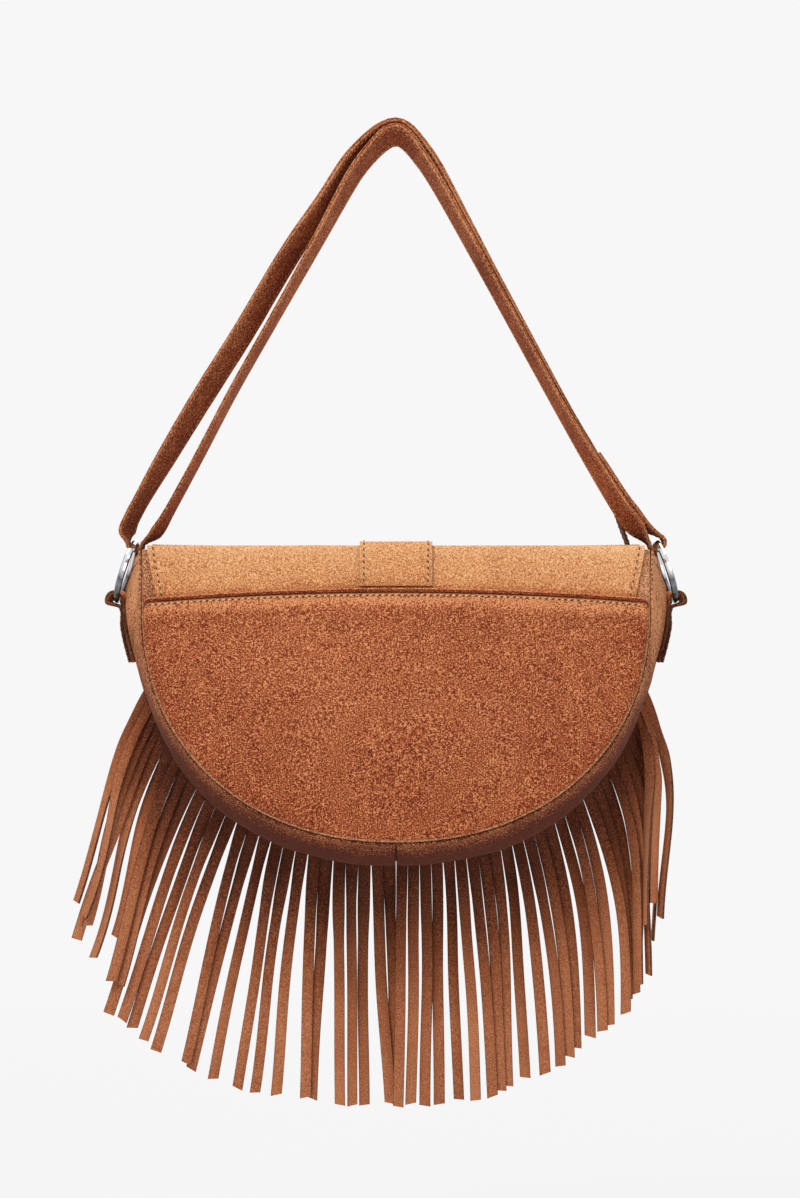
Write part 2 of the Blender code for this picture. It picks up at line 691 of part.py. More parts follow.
def strip_middle(start, first_way, tip, last_way, t):
    """A point along a strip: a smooth curve that leaves the seam along one way and ends along another."""
    reach = (tip - start).length * 0.33
    a, b, c, d = start, start + first_way * reach, tip - last_way * reach, tip
    return a * (1 - t) ** 3 + b * 3 * t * (1 - t) ** 2 + c * 3 * t * t * (1 - t) + d * t**3


def make_fringe(name, side, tips, swing, finish):
    """One half of the fringe: an uncut band sewn in the front seam, and strips cut below it."""
    rng = random.Random(4 + side)
    bm = bmesh.new()
    header = []

    def header_point(run, out_by):
        point, out = seam_at(run, side)
        spot = point + out * out_by
        spot.y = half_depth(point.z) + GAP + FRINGE_LEATHER / 2
        return spot

    for number, (low, high) in enumerate(strip_edges()):
        uppers = [bm.verts.new(header_point(run, -HEADER_IN)) for run in (low, high)]
        lowers = [bm.verts.new(header_point(run, HEADER_OUT)) for run in (low, high)]
        header += list(zip(uppers, lowers))
        share = (low + high) / 2 / FRINGE_START
        start = (lowers[0].co + lowers[1].co) / 2
        _, out = seam_at((low + high) / 2, side)
        outwards, down = read_table(tips, min(1.0, share))
        tip = start + Vector((side * outwards, 0, -down * rng.uniform(0.985, 1.012)))
        chord = (tip - start).normalized()
        first_way = (-UP).lerp(out, 0.75 * share).normalized()
        last_way = (-UP).lerp(chord, swing).normalized()
        layer = side * STRIP_LAYER * (number % STRIP_LAYERS - (STRIP_LAYERS - 1) / 2)
        turn = rng.uniform(-STRIP_TURN, STRIP_TURN)
        full_width = mix(STRIP_WIDTH_MIDDLE, STRIP_WIDTH_SIDE, smooth(share))
        head = lowers[1].co - lowers[0].co
        head_width = STRIP_HEAD * abs(first_way.cross(AWAY).dot(head))
        above = lowers
        for t in STRIP_ROWS:
            here = strip_middle(start, first_way, tip, last_way, t)
            ahead = strip_middle(start, first_way, tip, last_way, min(1.0, t + 0.02))
            behind = strip_middle(start, first_way, tip, last_way, t - 0.02)
            way = (ahead - behind).normalized()
            across = way.cross(AWAY).normalized()
            if across.dot(head) < 0:
                across = -across
            across = across * math.cos(turn * t) + AWAY * math.sin(turn * t)
            width = head_width if t == STRIP_ROWS[0] else full_width
            here = here + AWAY * layer
            row = [bm.verts.new(here + across * width * half) for half in (-0.5, 0.5)]
            bm.faces.new((above[0], above[1], row[1], row[0]))
            above = row
    for (a, b), (c, d) in zip(header, header[1:]):
        bm.faces.new((a, c, d, b))
    made = add_object(name, bm, finish, smooth_shade=False)
    thicken = made.modifiers.new("Suede thickness", "SOLIDIFY")
    thicken.thickness = FRINGE_LEATHER
    thicken.offset = 0
    return made


def build():
    for old in list(bpy.data.objects):
        bpy.data.objects.remove(old, do_unlink=True)
    panel = material("Panel suede", (0.47, 0.20, 0.085), 0.92)
    pale = material("Flap suede", (0.60, 0.30, 0.14), 0.92)
    gusset = material("Gusset suede", (0.50, 0.23, 0.10), 0.92)
    strap = material("Strap suede", (0.30, 0.10, 0.045), 0.90)
    fringe = material("Fringe suede", (0.42, 0.19, 0.10), 0.95)
    metal = material("Dark nickel", (0.30, 0.30, 0.32), 0.22, 1.0)

    make_panel("back_panel", BACK, panel)
    make_panel("front_panel", FRONT, panel)
    for side, word in ((LEFT, "left"), (RIGHT, "right")):
        make_gusset(f"gusset_{word}", side, gusset)
        make_ring(f"ring_{word}", side, metal)
        make_ring_tab(f"ring_tab_{word}", side, strap)
    make_pocket(panel)
    make_binding(panel)
    make_flap_back(pale)
    make_flap_front(pale)
    make_tab_back(pale)
    make_tab_front(pale)
    make_snap("snap_socket", GAP, metal)
    make_snap("snap_stud", 2 * GAP + SNAP_THICKNESS, metal, origin=HINGE)
    ribbon("strap", strap_stations(), STRAP_LEATHER, strap)
    make_fringe("fringe_left", LEFT, TIPS_LEFT, SWING_LEFT, fringe)
    make_fringe("fringe_right", RIGHT, TIPS_RIGHT, SWING_RIGHT, fringe)


build()
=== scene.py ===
"""Looks of the fringed suede bag: soft leather pieces, stitching, fringe, metal, lights and camera."""

import math
import random

import bmesh
import bpy
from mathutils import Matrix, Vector, noise


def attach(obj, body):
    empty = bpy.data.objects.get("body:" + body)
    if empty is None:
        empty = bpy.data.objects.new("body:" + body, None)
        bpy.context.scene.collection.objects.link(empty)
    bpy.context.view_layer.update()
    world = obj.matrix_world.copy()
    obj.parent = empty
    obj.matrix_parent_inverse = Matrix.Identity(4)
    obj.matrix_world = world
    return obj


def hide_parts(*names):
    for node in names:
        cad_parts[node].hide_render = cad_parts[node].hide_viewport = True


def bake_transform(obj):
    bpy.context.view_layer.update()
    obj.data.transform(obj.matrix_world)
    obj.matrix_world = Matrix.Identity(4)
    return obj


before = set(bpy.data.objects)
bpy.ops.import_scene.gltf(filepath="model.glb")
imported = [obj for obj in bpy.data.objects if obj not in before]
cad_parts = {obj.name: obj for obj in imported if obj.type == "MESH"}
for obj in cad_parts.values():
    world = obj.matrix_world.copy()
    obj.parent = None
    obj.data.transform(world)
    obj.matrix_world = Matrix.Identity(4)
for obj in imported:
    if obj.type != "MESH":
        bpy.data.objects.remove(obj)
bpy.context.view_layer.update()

# Sizes repeated from the part
STRAP_DROP = 0.1935
HALF_WIDTH = 0.1205
STRAIGHT_SIDE = 0.0285
CURVE_HEIGHT = 0.1100
CURVE_POWER = 2.15
TOP_DEPTH = 0.044
BOTTOM_DEPTH = 0.060
PANEL_CROWN = 0.004
LEATHER = 0.0018
GAP = 0.0003
GUSSET_TOP_SWELL = 0.0050
GUSSET_SIDE_SWELL = 0.0088  # beside the rings
GUSSET_WAIST_SWELL = 0.0062
GUSSET_BOTTOM_SWELL = 0.0128
GUSSET_EASE = 0.016
GUSSET_DIP = 0.006
GUSSET_POWER = 2.2
POCKET_TOP = 0.0205
POCKET_ARCH = 0.0050
POCKET_INSET = 0.0010
BINDING_HEIGHT = 0.0028
BINDING_THICKNESS = 0.0022
FLAP_LEATHER = 0.0016
FLAP_HALF_WIDTH = 0.1180
FLAP_HALF_WIDTH_LOW = 0.1125
FLAP_TUCK = 0.007
FLAP_WAIST = 0.0860
FLAP_DROP = 0.085
FRONT_FOLD_RADIUS = 0.007
TAB_LEATHER = 0.0016
TAB_HALF_WIDTH = 0.0172
TAB_FRONT_DROP = 0.074
SNAP_THICKNESS = 0.0022
RING_RADIUS = 0.0144
WIRE_RADIUS = 0.0016
RING_TOP_OUT = 0.0044
RING_TOP_RISE = 0.0035
RING_LEAN = math.radians(18)
RING_TURN = math.radians(4)
RING_TAB_WIDTH = 0.0120
RING_TAB_LOOP_WIDTH = 0.0095
RING_TAB_LEATHER = 0.0014
RING_TAB_PLAY = 0.0003
RING_TAB_REACH = 0.030
STRAP_WIDTH = 0.0150
STRAP_RING_WIDTH = 0.0110
STRAP_LEATHER = 0.0028
STRAP_LAYER_GAP = 0.0008
STRAP_APEX_TILT = math.radians(38)
FRINGE_LEATHER = 0.0012
FRINGE_START = 0.149
HEADER_IN = 0.004
STRIP_LAYERS = 5
STRIP_LAYER = 0.0020

# Sizes of the finer shapes
RING_TAB_NECK = 1.03  # how far below the ring its loop closes, in loop radii
RING_TAB_TURN = math.radians(14)  # further turn of the loop, so that it hides its own eye
BACK_FOLD_RADIUS = 0.0039  # outer face of the tab where it folds over the back top edge
UNDULATION = 0.0006
PUCKER = 0.00022
PUCKER_LENGTH = 0.0055
PUCKER_REACH = 0.004
ROLL = 0.0026  # width of the rounded edge of a turned panel
STITCH_PITCH = 0.0032
STITCH_LENGTH = 0.0024
THREAD_RADIUS = 0.00036
STITCH_SLANT = 0.22

TOP = -STRAP_DROP
SHOULDER = TOP - STRAIGHT_SIDE
BOTTOM = SHOULDER - CURVE_HEIGHT
UP = Vector((0, 0, 1))
AWAY = Vector((0, 1, 0))
LEFT, RIGHT = -1, 1
BACK, FRONT = -1, 1
FRONT_STACK = FRINGE_LEATHER + GAP
SNAP_ROOM = 2 * SNAP_THICKNESS + 3 * GAP
CURVE_SAMPLES = 240


def smooth(t):
    t = min(1.0, max(0.0, t))
    return t * t * (3 - 2 * t)


def mix(a, b, t):
    return a + (b - a) * t


def read_table(table, t):
    for low, high in zip(table, table[1:]):
        if t <= high[0]:
            part = (t - low[0]) / (high[0] - low[0])
            return [mix(a, b, part) for a, b in zip(low[1:], high[1:])]
    return list(table[-1][1:])


def wobble(x, y, z, scale, seed=0.0):
    """Smooth noise from -1 to 1, with features of about this size in metres."""
    return noise.noise(Vector((x / scale + seed * 7.3, y / scale - seed * 3.1, z / scale + seed * 5.7)))


def seam_samples():
    found = []
    for i in range(CURVE_SAMPLES + 1):
        angle = math.pi / 2 * (1 - i / CURVE_SAMPLES)
        x = HALF_WIDTH * max(0.0, math.cos(angle)) ** (2 / CURVE_POWER)
        z = SHOULDER - CURVE_HEIGHT * max(0.0, math.sin(angle)) ** (2 / CURVE_POWER)
        found.append(Vector((x, 0, z)))
    found.append(Vector((HALF_WIDTH, 0, TOP)))
    return found


SEAM = seam_samples()
SEAM_RUN = [0.0]
for before, after in zip(SEAM, SEAM[1:]):
    SEAM_RUN.append(SEAM_RUN[-1] + (after - before).length)
SEAM_LENGTH = SEAM_RUN[-1]


def seam_at(run, side):
    run = min(max(run, 0.0), SEAM_LENGTH)
    i = next(k for k in range(1, len(SEAM_RUN)) if run <= SEAM_RUN[k] or k == len(SEAM_RUN) - 1)
    part = (run - SEAM_RUN[i - 1]) / (SEAM_RUN[i] - SEAM_RUN[i - 1])
    point = SEAM[i - 1].lerp(SEAM[i], part)
    along = (SEAM[min(i + 2, len(SEAM) - 1)] - SEAM[max(i - 3, 0)]).normalized()
    out = Vector((along.z, 0, -along.x))
    return Vector((side * point.x, 0, point.z)), Vector((side * out.x, 0, out.z))


def half_width_at(z):
    fall = min(1.0, max(0.0, (SHOULDER - z) / CURVE_HEIGHT))
    return HALF_WIDTH * (1 - fall**CURVE_POWER) ** (1 / CURVE_POWER)


def half_depth(z):
    return mix(TOP_DEPTH, BOTTOM_DEPTH, min(1.0, max(0.0, (TOP - z) / (TOP - BOTTOM)))) / 2


def crown(x, z):
    width = half_width_at(z)
    across = max(0.0, 1 - (x / width) ** 2) if width > 0 else 0.0
    down = min(1.0, max(0.0, (TOP - z) / (TOP - BOTTOM)))
    soft = UNDULATION * wobble(x, 0, z, 0.045, 3) * min(1.0, across * 3)
    return PANEL_CROWN * across * math.sin(math.pi * down) + soft * smooth(down * 6)


def on_wall(side, x, z, offset):
    stack = FRONT_STACK if side == FRONT else 0
    return Vector((x, side * (half_depth(z) + GAP + stack + crown(x, z) + offset), z))


# Materials


def node(tree, kind, **values):
    made = tree.nodes.new(kind)
    for key, value in values.items():
        if key in made.inputs:
            made.inputs[key].default_value = value
        else:
            setattr(made, key, value)
    return made


def ramp(tree, source, stops):
    made = tree.nodes.new("ShaderNodeValToRGB")
    tree.links.new(source, made.inputs["Fac"])
    bands = made.color_ramp.elements
    while len(bands) < len(stops):
        bands.new(0.5)
    for band, (place, colour) in zip(bands, stops):
        band.position = place
        band.color = (*colour, 1)
    return made.outputs["Color"]


def suede(name, base, light, dark, grain=0.9, patches=0.5, sheen=0.06):
    """Brushed leather: fine light and dark fibres, soft patches of nap, and the tone stored on the mesh, which on
    several pieces also holds painted shade and painted highlights.
    """
    made = bpy.data.materials.new(name)
    made.use_nodes = True
    tree = made.node_tree
    shader = tree.nodes["Principled BSDF"]
    coord = node(tree, "ShaderNodeTexCoord").outputs["Object"]

    def cloud(scale, detail, rough=0.55):
        made_noise = node(tree, "ShaderNodeTexNoise", Scale=scale, Detail=detail, Roughness=rough)
        tree.links.new(coord, made_noise.inputs["Vector"])
        return made_noise.outputs["Fac"]

    def add(value, source, amount, middle=0.5):
        """value + (source - middle) * amount"""
        shift = node(tree, "ShaderNodeMath", operation="SUBTRACT")
        tree.links.new(source, shift.inputs[0])
        shift.inputs[1].default_value = middle
        total = node(tree, "ShaderNodeMath", operation="MULTIPLY_ADD")
        tree.links.new(shift.outputs[0], total.inputs[0])
        total.inputs[1].default_value = amount
        if isinstance(value, float):
            total.inputs[2].default_value = value
        else:
            tree.links.new(value, total.inputs[2])
        return total.outputs[0]

    tone = node(tree, "ShaderNodeAttribute", attribute_name="tone")
    fibre = cloud(1450, 2.0, 0.6)
    tuft = cloud(700, 2.0)
    nap = cloud(90, 3.0)
    area = cloud(22, 2.0)
    total = add(0.5, tone.outputs["Fac"], 0.42, 0.0)
    total = add(total, area, patches)
    total = add(total, nap, patches * 0.8)
    total = add(total, tuft, grain * 0.35)
    total = add(total, fibre, grain * 3.5)
    colour = ramp(tree, total, ((0.05, dark), (0.5, base), (0.95, light)))
    tree.links.new(colour, shader.inputs["Base Color"])
    height = add(0.0, fibre, 1.0, 0.0)
    height = add(height, tuft, 0.5, 0.0)
    bump = node(tree, "ShaderNodeBump", Strength=0.55, Distance=0.0005)
    tree.links.new(height, bump.inputs["Height"])
    tree.links.new(bump.outputs["Normal"], shader.inputs["Normal"])
    rough = add(0.86, nap, 0.1)
    tree.links.new(rough, shader.inputs["Roughness"])
    shader.inputs["Specular IOR Level"].default_value = 0.25
    shader.inputs["Sheen Weight"].default_value = sheen
    shader.inputs["Sheen Roughness"].default_value = 0.5
    shader.inputs["Sheen Tint"].default_value = (*light, 1)
    return made


def polished(name, light, dark):
    """Dark nickel plate with faint handling marks and painted reflections: a painted highlight brighter towards the top
    and where the wire faces back and front, painted dark on the wire's sides.
    """
    made = bpy.data.materials.new(name)
    made.use_nodes = True
    tree = made.node_tree
    shader = tree.nodes["Principled BSDF"]
    coord = node(tree, "ShaderNodeTexCoord").outputs["Object"]
    marks = node(tree, "ShaderNodeTexNoise", Scale=900.0, Detail=4.0, Roughness=0.7)
    smudge = node(tree, "ShaderNodeTexNoise", Scale=120.0, Detail=2.0)
    for made_noise in (marks, smudge):
        tree.links.new(coord, made_noise.inputs["Vector"])
    spread = node(tree, "ShaderNodeMapRange")
    spread.inputs["To Min"].default_value = 0.08
    spread.inputs["To Max"].default_value = 0.18
    tree.links.new(smudge.outputs["Fac"], spread.inputs["Value"])
    tree.links.new(spread.outputs["Result"], shader.inputs["Roughness"])
    bump = node(tree, "ShaderNodeBump", Strength=0.06, Distance=0.0001)
    tree.links.new(marks.outputs["Fac"], bump.inputs["Height"])
    tree.links.new(bump.outputs["Normal"], shader.inputs["Normal"])
    height = node(tree, "ShaderNodeSeparateXYZ")
    tree.links.new(node(tree, "ShaderNodeTexCoord").outputs["Generated"], height.inputs[0])
    facing = node(tree, "ShaderNodeSeparateXYZ")
    tree.links.new(node(tree, "ShaderNodeTexCoord").outputs["Normal"], facing.inputs[0])
    # Where the wire faces back and front it is painted bright, and its sides painted dark: a painted highlight.
    highlight_facing = node(tree, "ShaderNodeMath", operation="ABSOLUTE")
    tree.links.new(facing.outputs["Y"], highlight_facing.inputs[0])
    side = node(tree, "ShaderNodeMath", operation="MULTIPLY_ADD")
    tree.links.new(highlight_facing.outputs[0], side.inputs[0])
    side.inputs[1].default_value = 0.55
    side.inputs[2].default_value = -0.42
    # Smudges plus height: a painted highlight growing towards the top, over the plate's own smudges.
    wear_and_highlight = node(tree, "ShaderNodeMath", operation="MULTIPLY_ADD")
    tree.links.new(smudge.outputs["Fac"], wear_and_highlight.inputs[0])
    wear_and_highlight.inputs[1].default_value = 0.3
    tree.links.new(height.outputs["Z"], wear_and_highlight.inputs[2])
    both = node(tree, "ShaderNodeMath", operation="ADD")
    tree.links.new(wear_and_highlight.outputs[0], both.inputs[0])
    tree.links.new(side.outputs[0], both.inputs[1])
    # The ramp paints the reflections: dark, a lighter streak, dark again, then the bright highlight.
    tint = ramp(tree, both.outputs[0], ((0.30, dark), (0.48, tuple(c * 2.2 for c in dark)), (0.60, dark), (0.78, light)))
    tree.links.new(tint, shader.inputs["Base Color"])
    shader.inputs["Metallic"].default_value = 1.0
    return made


def thread(name, light, dark):
    made = bpy.data.materials.new(name)
    made.use_nodes = True
    tree = made.node_tree
    shader = tree.nodes["Principled BSDF"]
    coord = node(tree, "ShaderNodeTexCoord").outputs["Object"]
    ply = node(tree, "ShaderNodeTexNoise", Scale=900.0, Detail=2.0)
    tree.links.new(coord, ply.inputs["Vector"])
    colour = ramp(tree, ply.outputs["Fac"], ((0.3, dark), (0.65, light)))
    tree.links.new(colour, shader.inputs["Base Color"])
    bump = node(tree, "ShaderNodeBump", Strength=0.3, Distance=0.0002)
    tree.links.new(ply.outputs["Fac"], bump.inputs["Height"])
    tree.links.new(bump.outputs["Normal"], shader.inputs["Normal"])
    shader.inputs["Roughness"].default_value = 0.75
    return made


POCKET_SUEDE = suede("Pocket suede", (0.42, 0.088, 0.027), (0.88, 0.37, 0.155), (0.12, 0.016, 0.004), patches=0.2)
PANEL_SUEDE = suede("Panel suede", (0.48, 0.165, 0.070), (0.88, 0.47, 0.24), (0.16, 0.040, 0.014), patches=0.25)
FLAP_SUEDE = suede("Flap suede", (0.83, 0.36, 0.138), (1.0, 0.64, 0.34), (0.42, 0.13, 0.042), grain=0.75, patches=0.22)
GUSSET_SUEDE = suede("Gusset suede", (0.49, 0.148, 0.054), (0.90, 0.43, 0.20), (0.080, 0.012, 0.004), patches=0.3)
STRAP_SUEDE = suede("Strap suede", (0.35, 0.080, 0.025), (0.74, 0.34, 0.155), (0.11, 0.018, 0.006), grain=0.7, patches=0.3)
FRINGE_SUEDE = suede("Fringe suede", (0.34, 0.098, 0.036), (0.64, 0.245, 0.110), (0.085, 0.019, 0.007),
                     grain=0.4, patches=0.2)
EDGE_SUEDE = suede("Cut edge", (0.085, 0.026, 0.013), (0.22, 0.09, 0.04), (0.030, 0.009, 0.005), sheen=0.03)
LINING_SUEDE = suede("Lining", (0.40, 0.22, 0.12), (0.55, 0.34, 0.2), (0.25, 0.12, 0.06), grain=0.5)
CREAM_THREAD = thread("Cream thread", (0.92, 0.60, 0.32), (0.66, 0.36, 0.16))
# The dark studs in the stitch holes are painted shade, standing for the shade inside the holes.
HOLE_SHADE = thread("Stitch holes", (0.16, 0.05, 0.02), (0.05, 0.015, 0.007))
STRAP_THREAD = thread("Strap thread", (0.60, 0.33, 0.17), (0.36, 0.14, 0.06))
BROWN_THREAD = thread("Brown thread", (0.50, 0.24, 0.11), (0.22, 0.08, 0.03))
DARK_NICKEL = polished("Dark nickel", (0.74, 0.745, 0.76), (0.11, 0.113, 0.12))


# Mesh building


def link_mesh(name, bm, finishes, angle=50):
    mesh = bpy.data.meshes.new(name)
    bm.to_mesh(mesh)
    bm.free()
    mesh.shade_smooth()
    mesh.set_sharp_from_angle(angle=math.radians(angle))
    for finish in finishes:
        mesh.materials.append(finish)
    made = bpy.data.objects.new(name, mesh)
    bpy.context.scene.collection.objects.link(made)
    return made


def bake_modifiers(made):
    graph = bpy.context.evaluated_depsgraph_get()
    mesh = bpy.data.meshes.new_from_object(made.evaluated_get(graph))
    made.modifiers.clear()
    made.data = mesh
    return made


def round_edges(made, width, segments=2):
    bevel = made.modifiers.new("Worn edges", "BEVEL")
    bevel.width = width
    bevel.segments = segments
    bevel.limit_method = "ANGLE"
    bevel.angle_limit = math.radians(50)
    bevel.harden_normals = False
    return bake_modifiers(made)


def set_tone(made, tone):
    """Store how light or dark the leather is at each vertex, its own nap and, on several pieces, painted shade and
    painted highlights: tone takes the point and gives -1 to 1.
    """
    mesh = made.data
    stored = mesh.attributes.get("tone") or mesh.attributes.new("tone", "FLOAT", "POINT")
    stored.data.foreach_set("value", [tone(v.co) for v in mesh.vertices])


def shell(name, outer, inner, finishes, wrap=False, edge=0.00035):
    """A leather piece from two grids of points: finishes are its face, its cut edge and its inner side."""
    bm = bmesh.new()
    grids = [[[bm.verts.new(p) for p in row] for row in grid] for grid in (outer, inner)]
    columns = len(outer[0])
    for which, grid in enumerate(grids):
        inside = 2 if which and len(finishes) > 2 else 0
        for upper, lower in zip(grid, grid[1:]):
            for i in range(columns if wrap else columns - 1):
                j = (i + 1) % columns
                bm.faces.new((upper[i], upper[j], lower[j], lower[i])).material_index = inside
        if wrap:
            middle = bm.verts.new(sum((v.co for v in grid[-1]), Vector()) / columns)
            for i in range(columns):
                bm.faces.new((grid[-1][i], grid[-1][(i + 1) % columns], middle)).material_index = inside
    if wrap:
        rims = [[grid[0] + [grid[0][0]] for grid in grids]]
    else:
        rims = [[grid[0] for grid in grids], [grid[-1] for grid in grids]]
        rims += [[[row[k] for row in grid] for grid in grids] for k in (0, -1)]
    for a, b in rims:
        for i in range(len(a) - 1):
            bm.faces.new((a[i], a[i + 1], b[i + 1], b[i])).material_index = 1
    bmesh.ops.recalc_face_normals(bm, faces=bm.faces)
    made = link_mesh(name, bm, finishes)
    return round_edges(made, edge) if edge else made


def add_stitch(bm, middle, along, normal, length, radius):
    along = (along + normal.cross(along) * STITCH_SLANT).normalized()
    across = normal.cross(along).normalized()
    half = length / 2
    rings = []
    for place, lift, thick in ((-1, -0.5, 0.45), (-0.55, 0.55, 0.9), (0, 0.85, 1.0), (0.55, 0.55, 0.9), (1, -0.5, 0.45)):
        centre = middle + along * half * place + normal * radius * lift
        rings.append([
            bm.verts.new(centre + (across * math.cos(a) + normal * math.sin(a)) * radius * thick)
            for a in (2 * math.pi * k / 6 for k in range(6))
        ])
    for a, b in zip(rings, rings[1:]):
        for k in range(6):
            bm.faces.new((a[k], a[(k + 1) % 6], b[(k + 1) % 6], b[k]))
    bm.faces.new(rings[0][::-1])
    bm.faces.new(rings[-1])


def stitching(name, rows, finish, pitch=STITCH_PITCH, length=STITCH_LENGTH, radius=THREAD_RADIUS, phase=0.5):
    """Rows of stitches. Each row is a list of (point on the surface, direction out of the surface)."""
    bm = bmesh.new()
    for row in rows:
        runs = [0.0]
        for (a, _), (b, _) in zip(row, row[1:]):
            runs.append(runs[-1] + (b - a).length)
        count = max(1, int(runs[-1] / pitch))
        step = runs[-1] / count
        i = 0
        for k in range(count):
            want = (k + phase) * step
            while runs[i + 1] < want:
                i += 1
            part = (want - runs[i]) / (runs[i + 1] - runs[i])
            (a, normal_a), (b, normal_b) = row[i], row[i + 1]
            normal = normal_a.lerp(normal_b, part).normalized()
            along = (b - a).normalized()
            normal = (normal - along * normal.dot(along)).normalized()
            add_stitch(bm, a.lerp(b, part), along, normal, length, radius)
    bmesh.ops.recalc_face_normals(bm, faces=bm.faces)
    return link_mesh(name, bm, [finish], angle=80)


def place(made, slot, *nodes, body="bag", bend=None):
    """Put a finished piece on its body, or, when a bend is given, leave it fixed where it stands in the world; and hide
    the parts it stands for.
    """
    if bend:
        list(bend)
        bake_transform(made)
    else:
        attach(made, body)
    if nodes:
        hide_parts(*nodes)
    return made


# Panels


def panel_rim(count=110, top_count=46):
    runs = [SEAM_LENGTH * i / count for i in range(count + 1)]
    left = [(seam_at(run, LEFT)[0], run) for run in reversed(runs)]
    right = [(seam_at(run, RIGHT)[0], run) for run in runs[1:]]
    top = [(Vector((HALF_WIDTH * (1 - 2 * i / top_count), 0, TOP)), None) for i in range(1, top_count)]
    return left + right + top


def pucker(run, inwards):
    """Small gathers beside a sewn seam."""
    if run is None:
        return 0.0
    fade = math.exp(-((inwards / PUCKER_REACH) ** 2))
    return PUCKER * fade * math.sin(2 * math.pi * run / PUCKER_LENGTH + 2.5 * wobble(run, 0, 0, 0.02, 9))


def wall_grids(side, rim, inner_offset, outer_offset, roll, gathers=1.0):
    """Outer and inner loops of a panel that thins to a rounded edge at its rim."""
    low, high = min(p.z for p, _ in rim), max(p.z for p, _ in rim)
    middle = Vector((0, 0, (low + high) / 2))
    outer, inner = [], []
    for scale in (1, 0.994, 0.986, 0.975, 0.96, 0.94, 0.91, 0.87, 0.82, 0.76, 0.69, 0.61, 0.52, 0.42, 0.31, 0.2, 0.1):
        ring_out, ring_in = [], []
        for point, run in rim:
            spot = middle.lerp(point, scale)
            inwards = (point - middle).length * (1 - scale)
            part = min(1.0, inwards / ROLL)
            fall = roll * (1 - math.sqrt(1 - (1 - part) ** 2))
            wave = gathers * pucker(run, inwards)
            base = inner_offset(spot)
            ring_in.append(on_wall(side, spot.x, spot.z, base))
            ring_out.append(on_wall(side, spot.x, spot.z, base + outer_offset - fall + wave * smooth(part + 0.3)))
        outer.append(ring_out)
        inner.append(ring_in)
    return outer, inner


def panel_tone(seed, lift, strength=0.35):
    def tone(p):
        edge = half_width_at(min(TOP, p.z)) - abs(p.x)
        # Darker towards the seams: painted shade beside the gusset; the wobble is the leather's own uneven tone.
        rim = math.exp(-max(0.0, edge) / 0.012)
        return lift + strength * wobble(p.x, p.y, p.z, 0.06, seed) - 0.25 * rim
    return tone


for side, word in ((BACK, "back"), (FRONT, "front")):
    outer, inner = wall_grids(side, panel_rim(), lambda p: 0.0, LEATHER, 0.0009)
    made = shell(f"{word}_panel_suede", outer, inner, [PANEL_SUEDE, EDGE_SUEDE, LINING_SUEDE], wrap=True, edge=0.0003)
    set_tone(made, panel_tone(2 + side, 0.40 if side == BACK else 0.0))
    place(made, "panel_suede", f"{word}_panel")


# Slip pocket


def pocket_mouth(x):
    return TOP - POCKET_TOP - POCKET_ARCH * (x / HALF_WIDTH) ** 2


def pocket_lift(z):
    return GAP + (FLAP_LEATHER + GAP) * (1 - smooth((pocket_mouth(0) - FLAP_TUCK - z) / 0.012))


POCKET_CORNER = 0.0026
POCKET_REACH = HALF_WIDTH - POCKET_INSET


def mouth_edge(x):
    """The pocket's upper edge with its rounded corners."""
    past = max(0.0, abs(x) - (POCKET_REACH - POCKET_CORNER))
    return pocket_mouth(x) - POCKET_CORNER + math.sqrt(max(0.0, POCKET_CORNER**2 - past**2))


def pocket_rim(count=110, top_count=60):
    side_run = next(
        run for run in (SEAM_LENGTH * i / 400 for i in range(400, 0, -1))
        if seam_at(run, RIGHT)[0].z < pocket_mouth(HALF_WIDTH) - POCKET_CORNER
    )
    runs = [side_run * i / count for i in range(count + 1)]

    def inside(run, side):
        point, out = seam_at(run, side)
        return point - out * POCKET_INSET

    rim = [(inside(run, LEFT), run) for run in reversed(runs)]
    rim += [(inside(run, RIGHT), run) for run in runs[1:]]
    reach = rim[-1][0].x
    for i in range(1, top_count):
        x = reach * math.sin(math.pi / 2 * (1 - 2 * i / top_count))
        rim.append((Vector((x, 0, mouth_edge(x))), None))
    return rim


def pocket_tone(p):
    # Lighter band along the hem below the mouth; painted shade beside the seams; darker towards the bottom; the wobble
    # is the leather's own uneven tone.
    below = mouth_edge(p.x) - p.z
    hem = smooth((0.0082 - below) / 0.0045)
    seam = math.exp(-max(0.0, half_width_at(p.z) - abs(p.x)) / 0.008)
    low = smooth((pocket_mouth(0) - p.z) / 0.11)
    return 0.72 * hem * (1 + 0.25 * wobble(p.x, 0, 0, 0.02, 33)) - 0.22 * seam - 0.18 * low + 0.12 * wobble(p.x, 0, p.z, 0.05, 6)


outer, inner = wall_grids(BACK, pocket_rim(), lambda p: LEATHER + pocket_lift(p.z), LEATHER, 0.0011)
pocket = shell("back_pocket_suede", outer, inner, [POCKET_SUEDE, EDGE_SUEDE, LINING_SUEDE], wrap=True, edge=0.0003)
set_tone(pocket, pocket_tone)
place(pocket, "panel_suede", "back_pocket")


def pocket_face(x, z):
    return on_wall(BACK, x, z, LEATHER + pocket_lift(z) + LEATHER)


def mouth_row(below, reach, steps=160):
    row = []
    for i in range(steps + 1):
        x = reach * (2 * i / steps - 1)
        row.append((pocket_face(x, mouth_edge(x) - below), -AWAY))
    return row


def place_stitches(name, rows, pitch=STITCH_PITCH, bend=None):
    """A row of cream thread with the holes it goes through, drawn as dark studs of painted shade."""
    made = stitching(f"{name}_stitching", rows, CREAM_THREAD, pitch=pitch, length=pitch * 0.66)
    place(made, "flap_suede" if bend else "panel_suede", bend=bend)
    made = stitching(f"{name}_holes", rows, HOLE_SHADE, pitch=pitch, length=pitch * 0.46, radius=0.00034, phase=0.02)
    place(made, "flap_suede" if bend else "panel_suede", bend=bend)


place_stitches("pocket_mouth", [mouth_row(0.0011, POCKET_REACH - 0.003)], pitch=0.0030)

